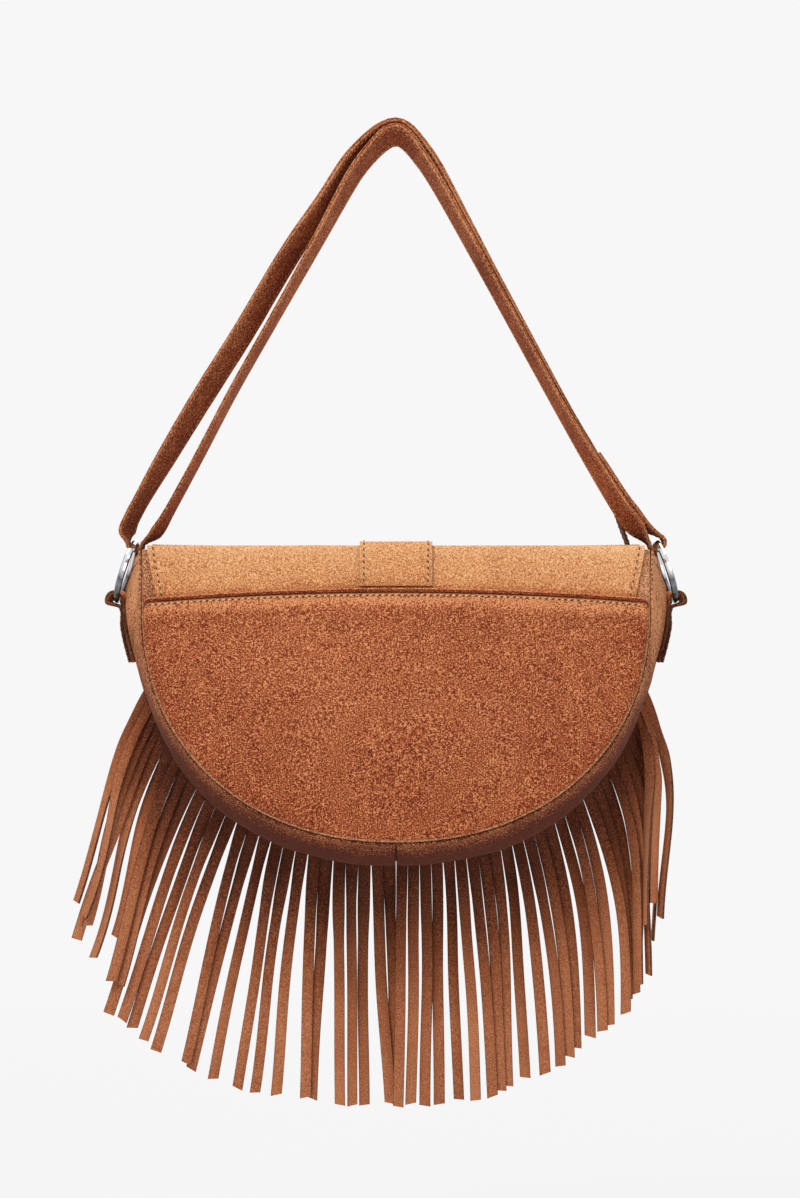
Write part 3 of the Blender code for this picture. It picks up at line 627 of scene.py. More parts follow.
# Two thin rolls of folded leather side by side along the mouth
BINDING_VISIBLE = 0.0022
BINDING_SECTION = []
for centre in (0.55, 1.55):
    for angle in range(-80, 81, 20):
        a = math.radians(angle)
        BINDING_SECTION.append((centre / 1000 + 0.00050 * math.sin(a), 0.55 + 0.45 * math.cos(a)))
bm = bmesh.new()
sections = []
BINDING_STEPS = 180
for i in range(BINDING_STEPS + 1):
    x = POCKET_REACH * math.sin(math.pi / 2 * (2 * i / BINDING_STEPS - 1))
    lift = LEATHER + GAP + FLAP_LEATHER + GAP
    base = mouth_edge(x) + GAP
    shape = [(0.0, 0.0), *BINDING_SECTION, (BINDING_VISIBLE, 0.0)]
    wave = 1 + 0.06 * wobble(x, 0, 0, 0.006, 4)
    sections.append([
        bm.verts.new(on_wall(BACK, x, base + up, lift + BINDING_THICKNESS * 0.9 * out * wave)) for up, out in shape
    ])
for a, b in zip(sections, sections[1:]):
    for k in range(len(a)):
        m = (k + 1) % len(a)
        bm.faces.new((a[k], a[m], b[m], b[k]))
bm.faces.new(sections[0])
bm.faces.new(sections[-1])
bmesh.ops.recalc_face_normals(bm, faces=bm.faces)
binding = link_mesh("pocket_binding_suede", bm, [POCKET_SUEDE], angle=60)
# The upper roll is painted lighter, a painted highlight, and the lower roll darker, painted shade under it; the wobble
# is the leather's own.
set_tone(binding, lambda p: mix(-0.7, 0.45, smooth((p.z - mouth_edge(p.x) - 0.0011) / 0.0006))
         + 0.2 * wobble(p.x, 0, p.z, 0.008, 5))
place(binding, "panel_suede", "pocket_binding")


# Gusset


def gusset_swell(point):
    down_curve = (SHOULDER - point.z) / CURVE_HEIGHT
    upper = mix(GUSSET_TOP_SWELL, GUSSET_SIDE_SWELL, smooth((TOP - point.z) / GUSSET_EASE))
    side = mix(upper, GUSSET_WAIST_SWELL, smooth(down_curve / 0.3))
    return mix(side, GUSSET_BOTTOM_SWELL, smooth((down_curve - 0.36) / 0.64))


def gusset_crest(z, side):
    point = Vector((side * half_width_at(z), 0, z))
    return point + Vector((side * gusset_swell(point), 0, 0))


GUSSET_HEM = 0.0060
SEAM_ROLL = 0.0017  # how far the gusset rolls out over its seams
SEAM_ROLL_WIDTH = 0.0042


def seam_roll(edge):
    """The rounded ridge beside a turned seam, at this distance from it."""
    if edge < 0.0011:
        return math.sqrt(max(0.0, 1 - (1 - edge / 0.0011) ** 2))
    return 1 - smooth((edge - 0.0011) / (SEAM_ROLL_WIDTH - 0.0011))


def gusset_point(run, t, side, lift=0.0):
    """A point over the gusset: run along the seam from the bottom, t from -1 at the back to 1 at the front."""
    point, out = seam_at(run, side)
    swell = gusset_swell(point)
    rise = 1 - abs(t) ** GUSSET_POWER
    soft = rise * (0.0006 * wobble(point.x, t * 0.03, point.z, 0.022, 8) + 0.0003 * wobble(run, t * 0.06, 0, 0.009, 18))
    edge = (1 - abs(t)) * half_depth(point.z)
    roll = seam_roll(edge)
    if t > 0:
        roll *= smooth((run - FRINGE_START - 0.004) / 0.012)
    gather = 0.7 * pucker(run, edge)
    here = point + out * (swell * rise + soft + gather + lift + 0.0005 * roll)
    hem = smooth((run - SEAM_LENGTH + GUSSET_HEM + 0.0012) / 0.0012)
    here += out * 0.0005 * hem
    top = smooth((run - SEAM_LENGTH * 0.86) / (SEAM_LENGTH * 0.14))
    here -= UP * GUSSET_DIP * (1 - t * t) * top
    here.y = t * half_depth(point.z) + math.copysign(SEAM_ROLL, t) * roll * (1 + 0.10 * wobble(run, 0, t, 0.012, 25))
    return here


def gusset_spot(run, t, side):
    """The point over the gusset and the way out of its leather."""
    along = gusset_point(run + 0.0004, t, side) - gusset_point(run - 0.0004, t, side)
    across = gusset_point(run, t + 0.012, side) - gusset_point(run, t - 0.012, side)
    normal = along.cross(across).normalized()
    _, out = seam_at(run, side)
    return gusset_point(run, t, side), normal if normal.dot(out + AWAY * t * 0.5) > 0 else -normal


def gusset_tone(p):
    # Painted light and shade: the upper part near the rings is painted lighter, and the part towards the bottom and
    # away from the seams painted darker as shade; low on the back seam its roll gets a painted highlight. It is also a
    # little darker within a few millimetres of the seams; the dark bottom joint and the mottle are the leather's own.
    deep = half_depth(p.z) - abs(p.y)
    low = smooth((SHOULDER - p.z) / (CURVE_HEIGHT * 0.9))
    ridge = math.exp(-((max(0.0, deep + 0.001) / 0.004) ** 2))
    joint = math.exp(-abs(p.x) / 0.0012)
    mottle = 0.5 * wobble(p.x, p.y, p.z, 0.02, 12) + 0.35 * wobble(p.x, p.y, p.z, 0.007, 13)
    hollow = smooth((deep - 0.002) / 0.012)
    high = smooth((p.z - SHOULDER + 0.03) / 0.05)
    roll = math.exp(-((max(0.0, deep) / 0.0026) ** 2)) * low if p.y < 0 else 0.0
    return 0.45 + 0.62 * high - 0.25 * ridge - hollow * mix(0.50, 1.2, low) - 1.35 * low + 0.35 * roll - 0.4 * joint + mottle * mix(1, 0.5, low)


for side, word in ((LEFT, "left"), (RIGHT, "right")):
    outer, inner = [], []
    for i in range(131):
        run = mix(GAP / 2, SEAM_LENGTH, (i / 130) ** 1.15)
        joint_roll = 0.0014 * (1 - math.sqrt(max(0.0, 1 - (1 - min(1.0, run / 0.0016)) ** 2)))
        row = [math.sin(math.pi / 2 * (2 * k / 52 - 1)) for k in range(53)]
        outer.append([gusset_point(run, t, side, -joint_roll) for t in row])
        inner.append([gusset_point(run, t, side, -LEATHER) for t in row])
    made = shell(f"gusset_{word}_suede", outer, inner, [GUSSET_SUEDE, EDGE_SUEDE, LINING_SUEDE], edge=0.0003)
    set_tone(made, gusset_tone)
    place(made, "gusset_suede", f"gusset_{word}")
    rows = []
    for t in (-0.975, 0.975):
        runs = [mix(SEAM_LENGTH - 0.020, SEAM_LENGTH - 0.001, i / 40) for i in range(41)]
        rows.append([gusset_spot(run, t, side) for run in runs])
    rows.append([gusset_spot(SEAM_LENGTH - 0.0046, mix(-0.94, 0.94, i / 60), side) for i in range(61)])
    # The seam stitching beside the gusset shows only as dark dots, drawn as the painted shade of its holes.
    place(stitching(f"gusset_{word}_stitching", rows, HOLE_SHADE, pitch=0.0023, length=0.0015, radius=0.00026),
          "gusset_suede")


# The leather turned in at the joint of the two halves
outer, inner = [], []
for i in range(31):
    t = 0.97 * (2 * i / 30 - 1)
    for grid, lift in ((outer, -LEATHER - 0.0004), (inner, -LEATHER - 0.0016)):
        grid.append([gusset_point(abs(x), t, LEFT if x < 0 else RIGHT, lift) for x in (-0.004, -0.002, 0.002, 0.004)])
made = shell("gusset_joint_suede", outer, inner, [EDGE_SUEDE, EDGE_SUEDE], edge=0.0)
set_tone(made, lambda p: -0.8)
place(made, "gusset_suede")


# Flap and tab, each one cut of leather that bends at the back top fold

TAB_OUT = LEATHER + GAP + FLAP_LEATHER + GAP + TAB_LEATHER
HINGE = Vector((0, -(half_depth(TOP) + GAP + TAB_OUT), TOP + GAP + FLAP_LEATHER + GAP + TAB_LEATHER))
BEND = ("bag", "flap", (0, HINGE.y + 0.0012, HINGE.z - 0.0045), (0, HINGE.y + 0.0078, HINGE.z - 0.0027))
FRONT_WALL = half_depth(TOP) + GAP + FRONT_STACK + LEATHER + SNAP_ROOM + FLAP_LEATHER + GAP + TAB_LEATHER


def front_fall_y(z, depth_in):
    down = min(1.0, max(0.0, (TOP - z) / (TOP - BOTTOM)))
    swell = PANEL_CROWN * math.sin(math.pi * down)
    return half_depth(z) + GAP + FRONT_STACK + swell + (FRONT_WALL - half_depth(TOP) - GAP - FRONT_STACK) - depth_in


def flap_stations(depth_in, low, drop, down_steps=26):
    """The path of a piece over the bag: (kind, y, z, share) from its lower end on the back to its end on the front."""
    found = []
    corner = BACK_FOLD_RADIUS - depth_in
    top = HINGE.z - depth_in
    for i in range(15):
        found.append(("back", None, mix(low, HINGE.z - BACK_FOLD_RADIUS, i / 14), i / 14))
    for angle in (15, 30, 45, 60, 75, 90):
        a = math.radians(angle)
        y = HINGE.y + BACK_FOLD_RADIUS - corner * math.cos(a)
        z = HINGE.z - BACK_FOLD_RADIUS + corner * math.sin(a)
        found.append(("fold", y, z, 0.0))
    start = HINGE.y + BACK_FOLD_RADIUS
    radius = FRONT_FOLD_RADIUS - depth_in / 2
    end = FRONT_WALL - depth_in - radius
    for i in range(1, 13):
        found.append(("top", mix(start, end, i / 12), top, i / 12))
    for angle in (15, 30, 45, 60, 75, 90):
        a = math.radians(angle)
        found.append(("front_fold", end + radius * math.sin(a), top - radius + radius * math.cos(a), 1.0))
    begin = HINGE.z - FRONT_FOLD_RADIUS
    for i in range(1, down_steps + 1):
        angle = math.radians(87) * i / down_steps
        z = begin - (drop - FRONT_FOLD_RADIUS) * math.sin(angle)
        found.append(("fall", front_fall_y(z, depth_in), z, angle))
    return found


def flap_width(kind, share, z, low):
    if kind == "back":
        return mix(FLAP_HALF_WIDTH_LOW, FLAP_HALF_WIDTH, (z - low) / (HINGE.z - BACK_FOLD_RADIUS - low))
    if kind == "fold":
        return FLAP_HALF_WIDTH
    if kind == "top":
        return mix(FLAP_HALF_WIDTH, FLAP_WAIST, smooth(share * 0.9) / smooth(0.9))
    if kind == "front_fold":
        return FLAP_WAIST
    return FLAP_WAIST * math.cos(share) ** 0.9


def tab_width(kind, share, z, low):
    if kind != "fall":
        return TAB_HALF_WIDTH
    return min(TAB_HALF_WIDTH, TAB_HALF_WIDTH * (math.cos(share) * 1.25) ** 0.6)


def over_bag(depth_in, low, drop, width, columns, seed, sag=0.0):
    """A grid of points over the bag at this depth inside the tab's outer face."""
    rows = []
    for kind, y, z, share in flap_stations(depth_in, low, drop):
        half = width(kind, share, z, low)
        row = []
        for i in range(columns + 1):
            s = 2 * i / columns - 1
            x = half * math.copysign(abs(s) ** 0.92, s)
            if kind == "back":
                here = on_wall(BACK, x, z, TAB_OUT - depth_in)
            else:
                here = Vector((x, y, z))
            if kind == "top":
                here.z -= sag * math.sin(math.pi * share) * (1 - (x / FLAP_HALF_WIDTH) ** 2)
                here.z += 0.0005 * wobble(x, y, 0, 0.03, seed) * math.sin(math.pi * share)
            if kind == "fall":
                here.y += 0.0004 * (1 + wobble(x, 0, z, 0.03, seed)) * smooth(share * 2)
            row.append(here)
        rows.append(row)
    return rows


def edge_rows(low, drop, width, inset, skip_tuck):
    """Points just inside the edge of a piece over the bag, up one side, round its front end and down the other."""
    sides = {LEFT: [], RIGHT: []}
    for kind, y, z, share in flap_stations(0.0, low, drop):
        if kind == "back" and z < skip_tuck:
            continue
        for side in sides:
            half = width(kind, share, z, low)
            if kind == "fall" and half < inset * 1.2:
                continue
            sides[side].append((kind, y, z, share, side * (half - inset)))
    return sides


def on_path(kind, y, z, x, depth_in, share):
    """The outer surface at a station, and the way out of it."""
    if kind == "back":
        return on_wall(BACK, x, z, TAB_OUT - depth_in), -AWAY
    if kind == "fold":
        out = Vector((0, y - (HINGE.y + BACK_FOLD_RADIUS), z - (HINGE.z - BACK_FOLD_RADIUS))).normalized()
        return Vector((x, y, z)) - out * depth_in, out
    if kind == "top":
        return Vector((x, y, z - depth_in)), UP
    if kind == "front_fold":
        middle = Vector((0, FRONT_WALL - FRONT_FOLD_RADIUS, HINGE.z - FRONT_FOLD_RADIUS))
        out = (Vector((0, y, z)) - middle).normalized()
        return Vector((x, y, z)) - out * depth_in, out
    return Vector((x, y - depth_in + 0.0004 * smooth(share * 2), z)), AWAY


def edge_stitches(low, drop, width, inset, skip_tuck, depth_in):
    rows = []
    for side, stations in edge_rows(low, drop, width, inset, skip_tuck).items():
        rows.append([on_path(kind, y, z, x, depth_in, share) for kind, y, z, share, x in stations])
    return rows


def grid_area(grid):
    return sum(
        ((b - a).cross(c - a).length + (b - d).cross(c - d).length) / 2
        for upper, lower in zip(grid, grid[1:])
        for a, b, c, d in zip(upper, upper[1:], lower, lower[1:])
    )


FLAP_DEPTH = TAB_LEATHER + GAP
FLAP_LOW = pocket_mouth(0) - FLAP_TUCK
TAB_LOW = pocket_mouth(TAB_HALF_WIDTH) + BINDING_HEIGHT + 2 * GAP


def flap_tone(p):
    # On the back, the shadow term is painted shade above the pocket mouth and the fold term is a painted highlight
    # along the top fold; the wobble is the leather's own uneven tone.
    down = TOP - p.z
    shadow = math.exp(-max(0.0, p.z - pocket_mouth(p.x) - BINDING_HEIGHT) / 0.0035) if p.y < 0 else 0.0
    fold = math.exp(-((down / 0.004) ** 2)) if p.y < 0 else 0.0
    return 0.35 * wobble(p.x, p.y, p.z, 0.05, 21) - 0.55 * shadow + 0.25 * fold


def folded_sheet(grid):
    """Measure how large this piece over the bag was cut: its length, width and area, which are not kept."""
    middle = [row[len(row) // 2] for row in grid]
    length = sum((b - a).length for a, b in zip(middle, middle[1:]))
    width = max((row[-1] - row[0]).length for row in grid)
    grid_area(grid)


outer = over_bag(FLAP_DEPTH, FLAP_LOW, FLAP_DROP, flap_width, 64, 31)
inner = over_bag(FLAP_DEPTH + FLAP_LEATHER, FLAP_LOW, FLAP_DROP, flap_width, 64, 31)
flap = shell("flap_suede", outer, inner, [FLAP_SUEDE, EDGE_SUEDE, LINING_SUEDE])
set_tone(flap, flap_tone)
folded_sheet(outer)
place(flap, "flap_suede", "flap_back", "flap_front", bend=BEND)
outer = over_bag(0.0, TAB_LOW, TAB_FRONT_DROP, tab_width, 16, 31)
inner = over_bag(TAB_LEATHER, TAB_LOW, TAB_FRONT_DROP, tab_width, 16, 31)
tab = shell("tab_suede", outer, inner, [FLAP_SUEDE, EDGE_SUEDE, LINING_SUEDE])
set_tone(tab, lambda p: flap_tone(p) - 0.1)
folded_sheet(outer)
place(tab, "flap_suede", "tab_back", "tab_front", bend=BEND)
rows = edge_stitches(FLAP_LOW, FLAP_DROP, flap_width, 0.0027, pocket_mouth(HALF_WIDTH) + BINDING_HEIGHT, FLAP_DEPTH)
place_stitches("flap", rows, bend=BEND)
rows = edge_stitches(TAB_LOW, TAB_FRONT_DROP, tab_width, 0.0020, TAB_LOW + 0.002, 0.0)
place_stitches("tab", rows, pitch=0.0029, bend=BEND)


# Rings, their tabs and the strap


def bow(width):
    return RING_RADIUS - math.sqrt(RING_RADIUS**2 - (width / 2) ** 2)


def ring_frame(side):
    top = Vector((side * (HALF_WIDTH + RING_TOP_OUT), 0, TOP + RING_TOP_RISE))
    up = Vector((-side * math.sin(RING_LEAN), 0, math.cos(RING_LEAN)))
    wire = -AWAY * math.cos(RING_TURN) + Vector((side * math.sin(RING_TURN), 0, 0))
    wire = (wire - up * wire.dot(up)).normalized()
    return top, top - up * 2 * RING_RADIUS, up, wire


def smooth_run(stations, steps):
    last = len(stations) - 1
    run = [0.0]
    for a, b in zip(stations, stations[1:]):
        run.append(run[-1] + (b[0] - a[0]).length)

    def slope(i, part):
        low, high = max(i - 1, 0), min(i + 1, last)
        return (stations[high][part] - stations[low][part]) / (run[high] - run[low])

    found = []
    for i in range(last):
        a, b, length = stations[i], stations[i + 1], run[i + 1] - run[i]
        for step in range(steps):
            t = step / steps
            rise = t * t * (3 - 2 * t)
            leave = length * t * (1 - t) ** 2
            arrive = -length * t * t * (1 - t)
            point, across = [
                a[k] * (1 - rise) + b[k] * rise + slope(i, k) * leave + slope(i + 1, k) * arrive for k in (0, 1)
            ]
            found.append((point, across.normalized(), mix(a[2], b[2], t)))
    return found + [stations[last]]


def way_out(point_before, point_after, side):
    along = (point_after - point_before).normalized()
    out = along.cross(AWAY).normalized()
    return -out if out.x * side < 0 or (side == 0 and out.z < 0) else out


def tilted(out, tilt):
    return -AWAY * math.cos(tilt) + out * math.sin(tilt)


def strap_thickness(z):
    """Full at the strap's top, thinner down its legs."""
    return mix(0.0015, 0.0024, smooth((z + 0.075) / 0.06))


RING_HALF_TURN = (185, 220, 255, 290, 325, 360)
RING_OVER_TURN = (395, 425)


def ring_turn(side, order, angles):
    top, _, _, wire = ring_frame(side)
    radius = WIRE_RADIUS + GAP + bow(STRAP_RING_WIDTH) + strap_thickness(top.z) / 2
    found = []
    for angle in angles:
        a = math.radians(angle)
        spot = top + Vector((side * math.cos(a) * radius, 0, math.sin(a) * radius))
        found.append((spot, wire, STRAP_RING_WIDTH))
    return found[::order]


def strap_stations(steps):
    """The strap from its folded end at the right ring to its other end, and where its two tops are."""
    degrees = math.radians
    inner_top = STRAP_WIDTH / 2 * math.sin(STRAP_APEX_TILT) + STRAP_LEATHER / 2 * math.cos(STRAP_APEX_TILT)
    spacing = STRAP_LEATHER + STRAP_LAYER_GAP
    rise = spacing * math.cos(STRAP_APEX_TILT)
    set_back = spacing * math.sin(STRAP_APEX_TILT)
    under = Vector((0, -set_back / 2, inner_top))
    over = Vector((0, set_back / 2, inner_top + rise))
    def leg_points(side, rows):
        top = ring_frame(side)[0]
        return [(Vector((top.x * out, depth, top.z * down)), degrees(tilt)) for out, down, depth, tilt in rows]

    # Rows are (share of the ring's distance out, share of its depth below the hang point, Y, tilt in degrees)
    right_inner = leg_points(RIGHT, (
        (0.922, 0.962, 0.0, 32), (0.866, 0.915, 0.0, 30), (0.783, 0.826, 0.0, 27), (0.655, 0.689, 0.0, 17),
        (0.467, 0.462, 0.0, 18), (0.324, 0.290, 0.0, 18), (0.189, 0.128, -0.0003, 18), (0.104, 0.036, -0.0007, 20),
    ))
    left_inner = leg_points(LEFT, (
        (0.125, 0.036, -0.0007, 24), (0.195, 0.110, -0.0004, 20), (0.304, 0.243, 0.0, 16), (0.492, 0.462, 0.0, 13),
        (0.632, 0.624, 0.0, 12), (0.753, 0.778, 0.0, 12), (0.872, 0.922, 0.0, 13), (0.922, 0.975, 0.0, 18),
    ))
    left_outer = leg_points(LEFT, (
        (1.034, 0.975, 0.0, 26), (1.020, 0.945, 0.0, 25), (0.974, 0.887, 0.0, 25), (0.907, 0.811, 0.0, 32),
        (0.802, 0.695, 0.0, 38), (0.692, 0.578, 0.0, 40), (0.579, 0.462, 0.0, 40), (0.400, 0.260, 0.0, 38),
        (0.254, 0.122, 0.0008, 30), (0.160, 0.020, 0.0008, 28),
    ))
    right_outer = leg_points(RIGHT, (
        (0.121, 0.018, 0.0011, 20), (0, 0.120, 0.0010, 18), (0, 0.285, 0.0010, 18),
        (0, 0.458, 0.0012, 18), (0, 0.580, 0.0020, 17), (0, 0.690, 0.0050, 18), (0, 0.765, 0.0110, 18),
        (0.810, 0.830, 0.0172, 6), (0.850, 0.915, 0.0172, 2), (0.875, 0.965, 0.0150, 1), (0.899, 1.010, 0.0127, 0),
    ))
    tail = leg_points(RIGHT, (
        (0, 0.786, 0.0, 22), (0, 0.826, 0.0, 26), (0, 0.891, 0.0, 28), (0.910, 0.927, 0.0, 26), (0.954, 0.958, 0.0, 18),
    ))

    def beside_inner(points):
        """Rows with no distance out lie along the outside of the right inner leg."""
        found = []
        spots = [p for p, _ in right_inner]
        for p, tilt in points:
            if p.x == 0:
                a, b = next((a, b) for a, b in zip(spots, spots[1:]) if a.z <= p.z <= b.z)
                near = a.lerp(b, (p.z - a.z) / (b.z - a.z))
                out = way_out(a, b, RIGHT)
                here = near + out * (strap_thickness(p.z) + 0.0004) / math.cos(tilt)
                p = Vector((here.x, p.y, here.z))
            found.append((p, tilt))
        return found

    def with_across(points, side):
        spots = [p for p, _ in points]
        last = len(spots) - 1
        return [
            (p, tilted(way_out(spots[max(i - 1, 0)], spots[min(i + 1, last)], side), tilt), STRAP_WIDTH)
            for i, (p, tilt) in enumerate(points)
        ]

    def apex(middle):
        across = -AWAY * math.cos(STRAP_APEX_TILT) + UP * math.sin(STRAP_APEX_TILT)
        return [(middle, across, STRAP_WIDTH)]

    first = with_across(beside_inner(tail), RIGHT) + ring_turn(RIGHT, -1, RING_HALF_TURN + RING_OVER_TURN)
    first += with_across(right_inner, RIGHT)
    second = with_across(left_inner, LEFT) + ring_turn(LEFT, 1, RING_HALF_TURN)
    second += with_across(left_outer, LEFT)
    third = with_across(beside_inner(right_outer), RIGHT)
    stations = first + apex(under) + second + apex(over) + third
    return smooth_run(stations, steps), len(first) * steps, (len(first) + 1 + len(second)) * steps


def ease_legs(stations, tops, rings, rounds=14):
    """Take the small waves out of the legs, away from the strap's two tops and its turns round the rings."""
    held = []
    for i, (middle, _, _) in enumerate(stations):
        near_top = min((middle - stations[k][0]).length for k in tops)
        near_ring = min((middle - ring_frame(side)[0]).length for side in rings)
        held.append(smooth((near_top - 0.008) / 0.012) * smooth((near_ring - 0.016) / 0.012))
    for _ in range(rounds):
        eased = [stations[0]]
        for i in range(1, len(stations) - 1):
            middle, across, width = stations[i]
            part = 0.5 * held[i]
            middle = middle.lerp((stations[i - 1][0] + stations[i + 1][0]) / 2, part)
            across = across.lerp((stations[i - 1][1] + stations[i + 1][1]) / 2, part).normalized()
            eased.append((middle, across, width))
        stations = eased + [stations[-1]]
    return stations


def section_frames(stations):
    """Each station as (middle, across, through the leather, width, run), with no break where pieces are cut."""
    found = []
    run = 0.0
    last = len(stations) - 1
    for i, (middle, across, width) in enumerate(stations):
        along = (stations[min(i + 1, last)][0] - stations[max(i - 1, 0)][0]).normalized()
        across = (across - along * across.dot(along)).normalized()
        if i:
            run += (middle - stations[i - 1][0]).length
        found.append((middle, across, along.cross(across), width, run))
    return found


# Half of a strap's cut section, as (share of the half width, share of the half thickness): two glued layers
STRAP_SECTION = (
    (-1.0, -0.10), (-0.975, 0.0), (-1.0, 0.10), (-0.995, 0.62), (-0.955, 0.88), (-0.86, 0.99), (-0.74, 0.93),
    (-0.66, 0.97), (-0.35, 1.0), (0.0, 1.0), (0.35, 1.0), (0.66, 0.97), (0.74, 0.93), (0.86, 0.99), (0.955, 0.88),
    (0.995, 0.62), (1.0, 0.10), (0.975, 0.0), (1.0, -0.10),
)
LOWER_SECTION = tuple((-a, -b) for a, b in STRAP_SECTION[3:-3])
WHOLE_SECTION = STRAP_SECTION + LOWER_SECTION


def band(name, frames, thickness, finishes, tone, rough=0.00012):
    """A leather band along section frames, with rounded edges and a glue line."""
    bm = bmesh.new()
    tones = []
    rings = []
    for middle, across, through, width, run in frames:
        ring = []
        for k, (a, b) in enumerate(WHOLE_SECTION):
            jitter = 1 + rough / (width / 2) * wobble(run, k * 0.01, 0, 0.004, 2)
            ring.append(bm.verts.new(middle + across * a * width / 2 * jitter + through * b * thickness(middle.z) / 2))
            tones.append(tone(run, a, b))
        rings.append(ring)
    count = len(WHOLE_SECTION)
    edges = {k for k, (a, _) in enumerate(WHOLE_SECTION) if abs(a) > 0.95}
    for a, b in zip(rings, rings[1:]):
        for k in range(count):
            m = (k + 1) % count
            face = bm.faces.new((a[k], a[m], b[m], b[k]))
            face.material_index = 1 if k in edges and m in edges else 0
    for ring in (rings[0], rings[-1]):
        bm.faces.new(ring).material_index = 1
    bm.verts.index_update()
    bmesh.ops.recalc_face_normals(bm, faces=bm.faces)
    made = link_mesh(name, bm, finishes, angle=60)
    stored = made.data.attributes.new("tone", "FLOAT", "POINT")
    stored.data.foreach_set("value", tones)
    return made


def band_stitches(frames, thickness, inset):
    rows = []
    for edge in (-1, 1):
        for face in (-1, 1):
            rows.append([
                (middle + across * edge * (width / 2 - inset) + through * face * thickness(middle.z) / 2 * 0.95, through * face)
                for middle, across, through, width, _ in frames
            ])
    return rows


def strap_tone(run, a, b):
    edge = smooth((abs(a) - 0.80) / 0.15)
    glue = math.exp(-((b / 0.16) ** 2)) if abs(a) > 0.96 else 0.0
    # Along the strap this is only its own uneven wear.
    wear_and_highlight = 0.35 * wobble(run, 0, 0, 0.03, 14) + 0.3 * wobble(run, a * 0.01, b, 0.006, 15)
    return mix(-0.25, 0.6, edge) - 0.9 * glue + wear_and_highlight


STRAP_STEPS = 8
DARK_END = 0.040  # length of the darker end behind the flap's top
stations, first_top, second_top = strap_stations(STRAP_STEPS)
frames = section_frames(ease_legs(stations, (first_top, second_top), (LEFT, RIGHT)))
end = next(i for i, frame_here in enumerate(frames) if frame_here[4] > frames[-1][4] - DARK_END)
right_bend = ("bag", "right_ring", (0.052, 0, -0.085), (0.121, 0, -0.184))
left_bend = ("bag", "left_ring", (-0.052, 0, -0.085), (-0.121, 0, -0.184))
pieces = (
    ("strap_right_inner", frames[: first_top + 1], right_bend),
    ("strap_left", frames[first_top : second_top + 1], left_bend),
    ("strap_right_outer", frames[second_top : end + 1], None),
    ("strap_right_end", frames[end:], None),
)
for name, part, bend in pieces:
    finish = EDGE_SUEDE if name == "strap_right_end" else STRAP_SUEDE
    made = band(f"{name}_suede", part, strap_thickness, [finish, finish], strap_tone)
    place(made, "strap_suede", "strap", bend=bend)
    rows = band_stitches(part, strap_thickness, 0.0019)
    made = stitching(f"{name}_stitching", rows, STRAP_THREAD, pitch=0.0026, length=0.0017, radius=0.00020)
    place(made, "strap_suede", bend=bend)


def ring_tab_stations(side):
    _, bottom, _, wire = ring_frame(side)
    loop = WIRE_RADIUS + GAP + RING_TAB_PLAY + bow(RING_TAB_LOOP_WIDTH) + RING_TAB_LEATHER / 2
    low = bottom.z - RING_TAB_REACH
    heights = [mix(low, bottom.z - loop * RING_TAB_NECK, t) for t in (0, 0.33, 0.66, 1)]
    near = GAP + RING_TAB_LEATHER / 2
    far = near + RING_TAB_LEATHER + GAP

    def layer(offset):
        return [(gusset_crest(z, side) + Vector((side * offset, 0, 0)), -AWAY, RING_TAB_WIDTH) for z in heights]

    across = (wire + Vector((side * math.tan(RING_TAB_TURN), 0, 0))).normalized()
    turn = []
    for angle in (200, 168, 136, 104, 72, 40, 8, -24):
        a = math.radians(angle)
        spot = bottom + Vector((side * math.cos(a) * loop, 0, math.sin(a) * loop))
        turn.append((spot, across, RING_TAB_LOOP_WIDTH))
    return layer(near) + turn + layer(far)[::-1]


for side, word in ((LEFT, "left"), (RIGHT, "right")):
    controls = ring_tab_stations(side)
    stations = smooth_run(controls, 5)
    made = band(
        f"ring_tab_{word}_suede", section_frames(stations), lambda z: RING_TAB_LEATHER, [STRAP_SUEDE, EDGE_SUEDE],
        lambda run, a, b: 0.7 - 0.7 * smooth(run / 0.03 - 1.2) + 0.3 * wobble(run, a * 0.01, 0, 0.01, 16),
    )
    place(made, "strap_suede", f"ring_tab_{word}")
    outside = stations[-16:]
    rows = []
    last = len(outside) - 1
    for edge in (-1, 1):
        row = []
        for middle, across, width in outside:
            out = Vector((side, 0, -0.25)).normalized()
            row.append((middle + across * edge * (width / 2 - 0.0018) + out * RING_TAB_LEATHER * 0.44, out))
        rows.append(row)
    place(stitching(f"ring_tab_{word}_stitching", rows, BROWN_THREAD, pitch=0.0028, length=0.002, radius=0.00016),
          "strap_suede")


# Fringe

# Strip ends from the middle outwards, as (millimetres out from the middle, millimetres below the hang point)
ENDS_LEFT = (
    (1.0, 461.1), (3.4, 463.0), (15.8, 463.5), (20.9, 463.5), (26.8, 463.0), (40.7, 460.9), (44.2, 460.1),
    (59.0, 458.5), (69.3, 457.1), (76.5, 455.0), (89.3, 451.2), (99.9, 446.3), (102.3, 443.1), (117.6, 436.7),
    (123.2, 431.2), (128.5, 426.3), (133.6, 422.1), (140.6, 418.7), (134.6, 404.6), (138.4, 402.6),
    (137.4, 381.6), (148.3, 391.4), (154.3, 383.0), (151.1, 375.3), (151.5, 371.0), (155.7, 364.6),
)
ENDS_RIGHT = (
    (0.9, 463.9), (7.2, 462.7), (14.6, 463.9), (20.5, 463.4), (30.2, 461.3), (38.5, 460.8), (47.0, 459.2),
    (51.4, 456.5), (55.1, 454.5), (62.6, 450.6), (72.3, 447.8), (79.9, 444.3), (84.3, 439.9), (87.7, 435.8),
    (95.2, 430.6), (99.9, 426.9), (103.7, 424.3), (112.1, 418.7), (112.5, 412.4), (115.5, 409.6),
    (118.1, 404.7), (118.4, 396.3), (121.6, 399.8), (122.5, 388.6), (124.2, 383.0), (119.8, 375.3),
    (125.1, 364.8), (130.1, 371.8),
)
UNCUT = 0.0125  # width of the uncut band beyond the seam
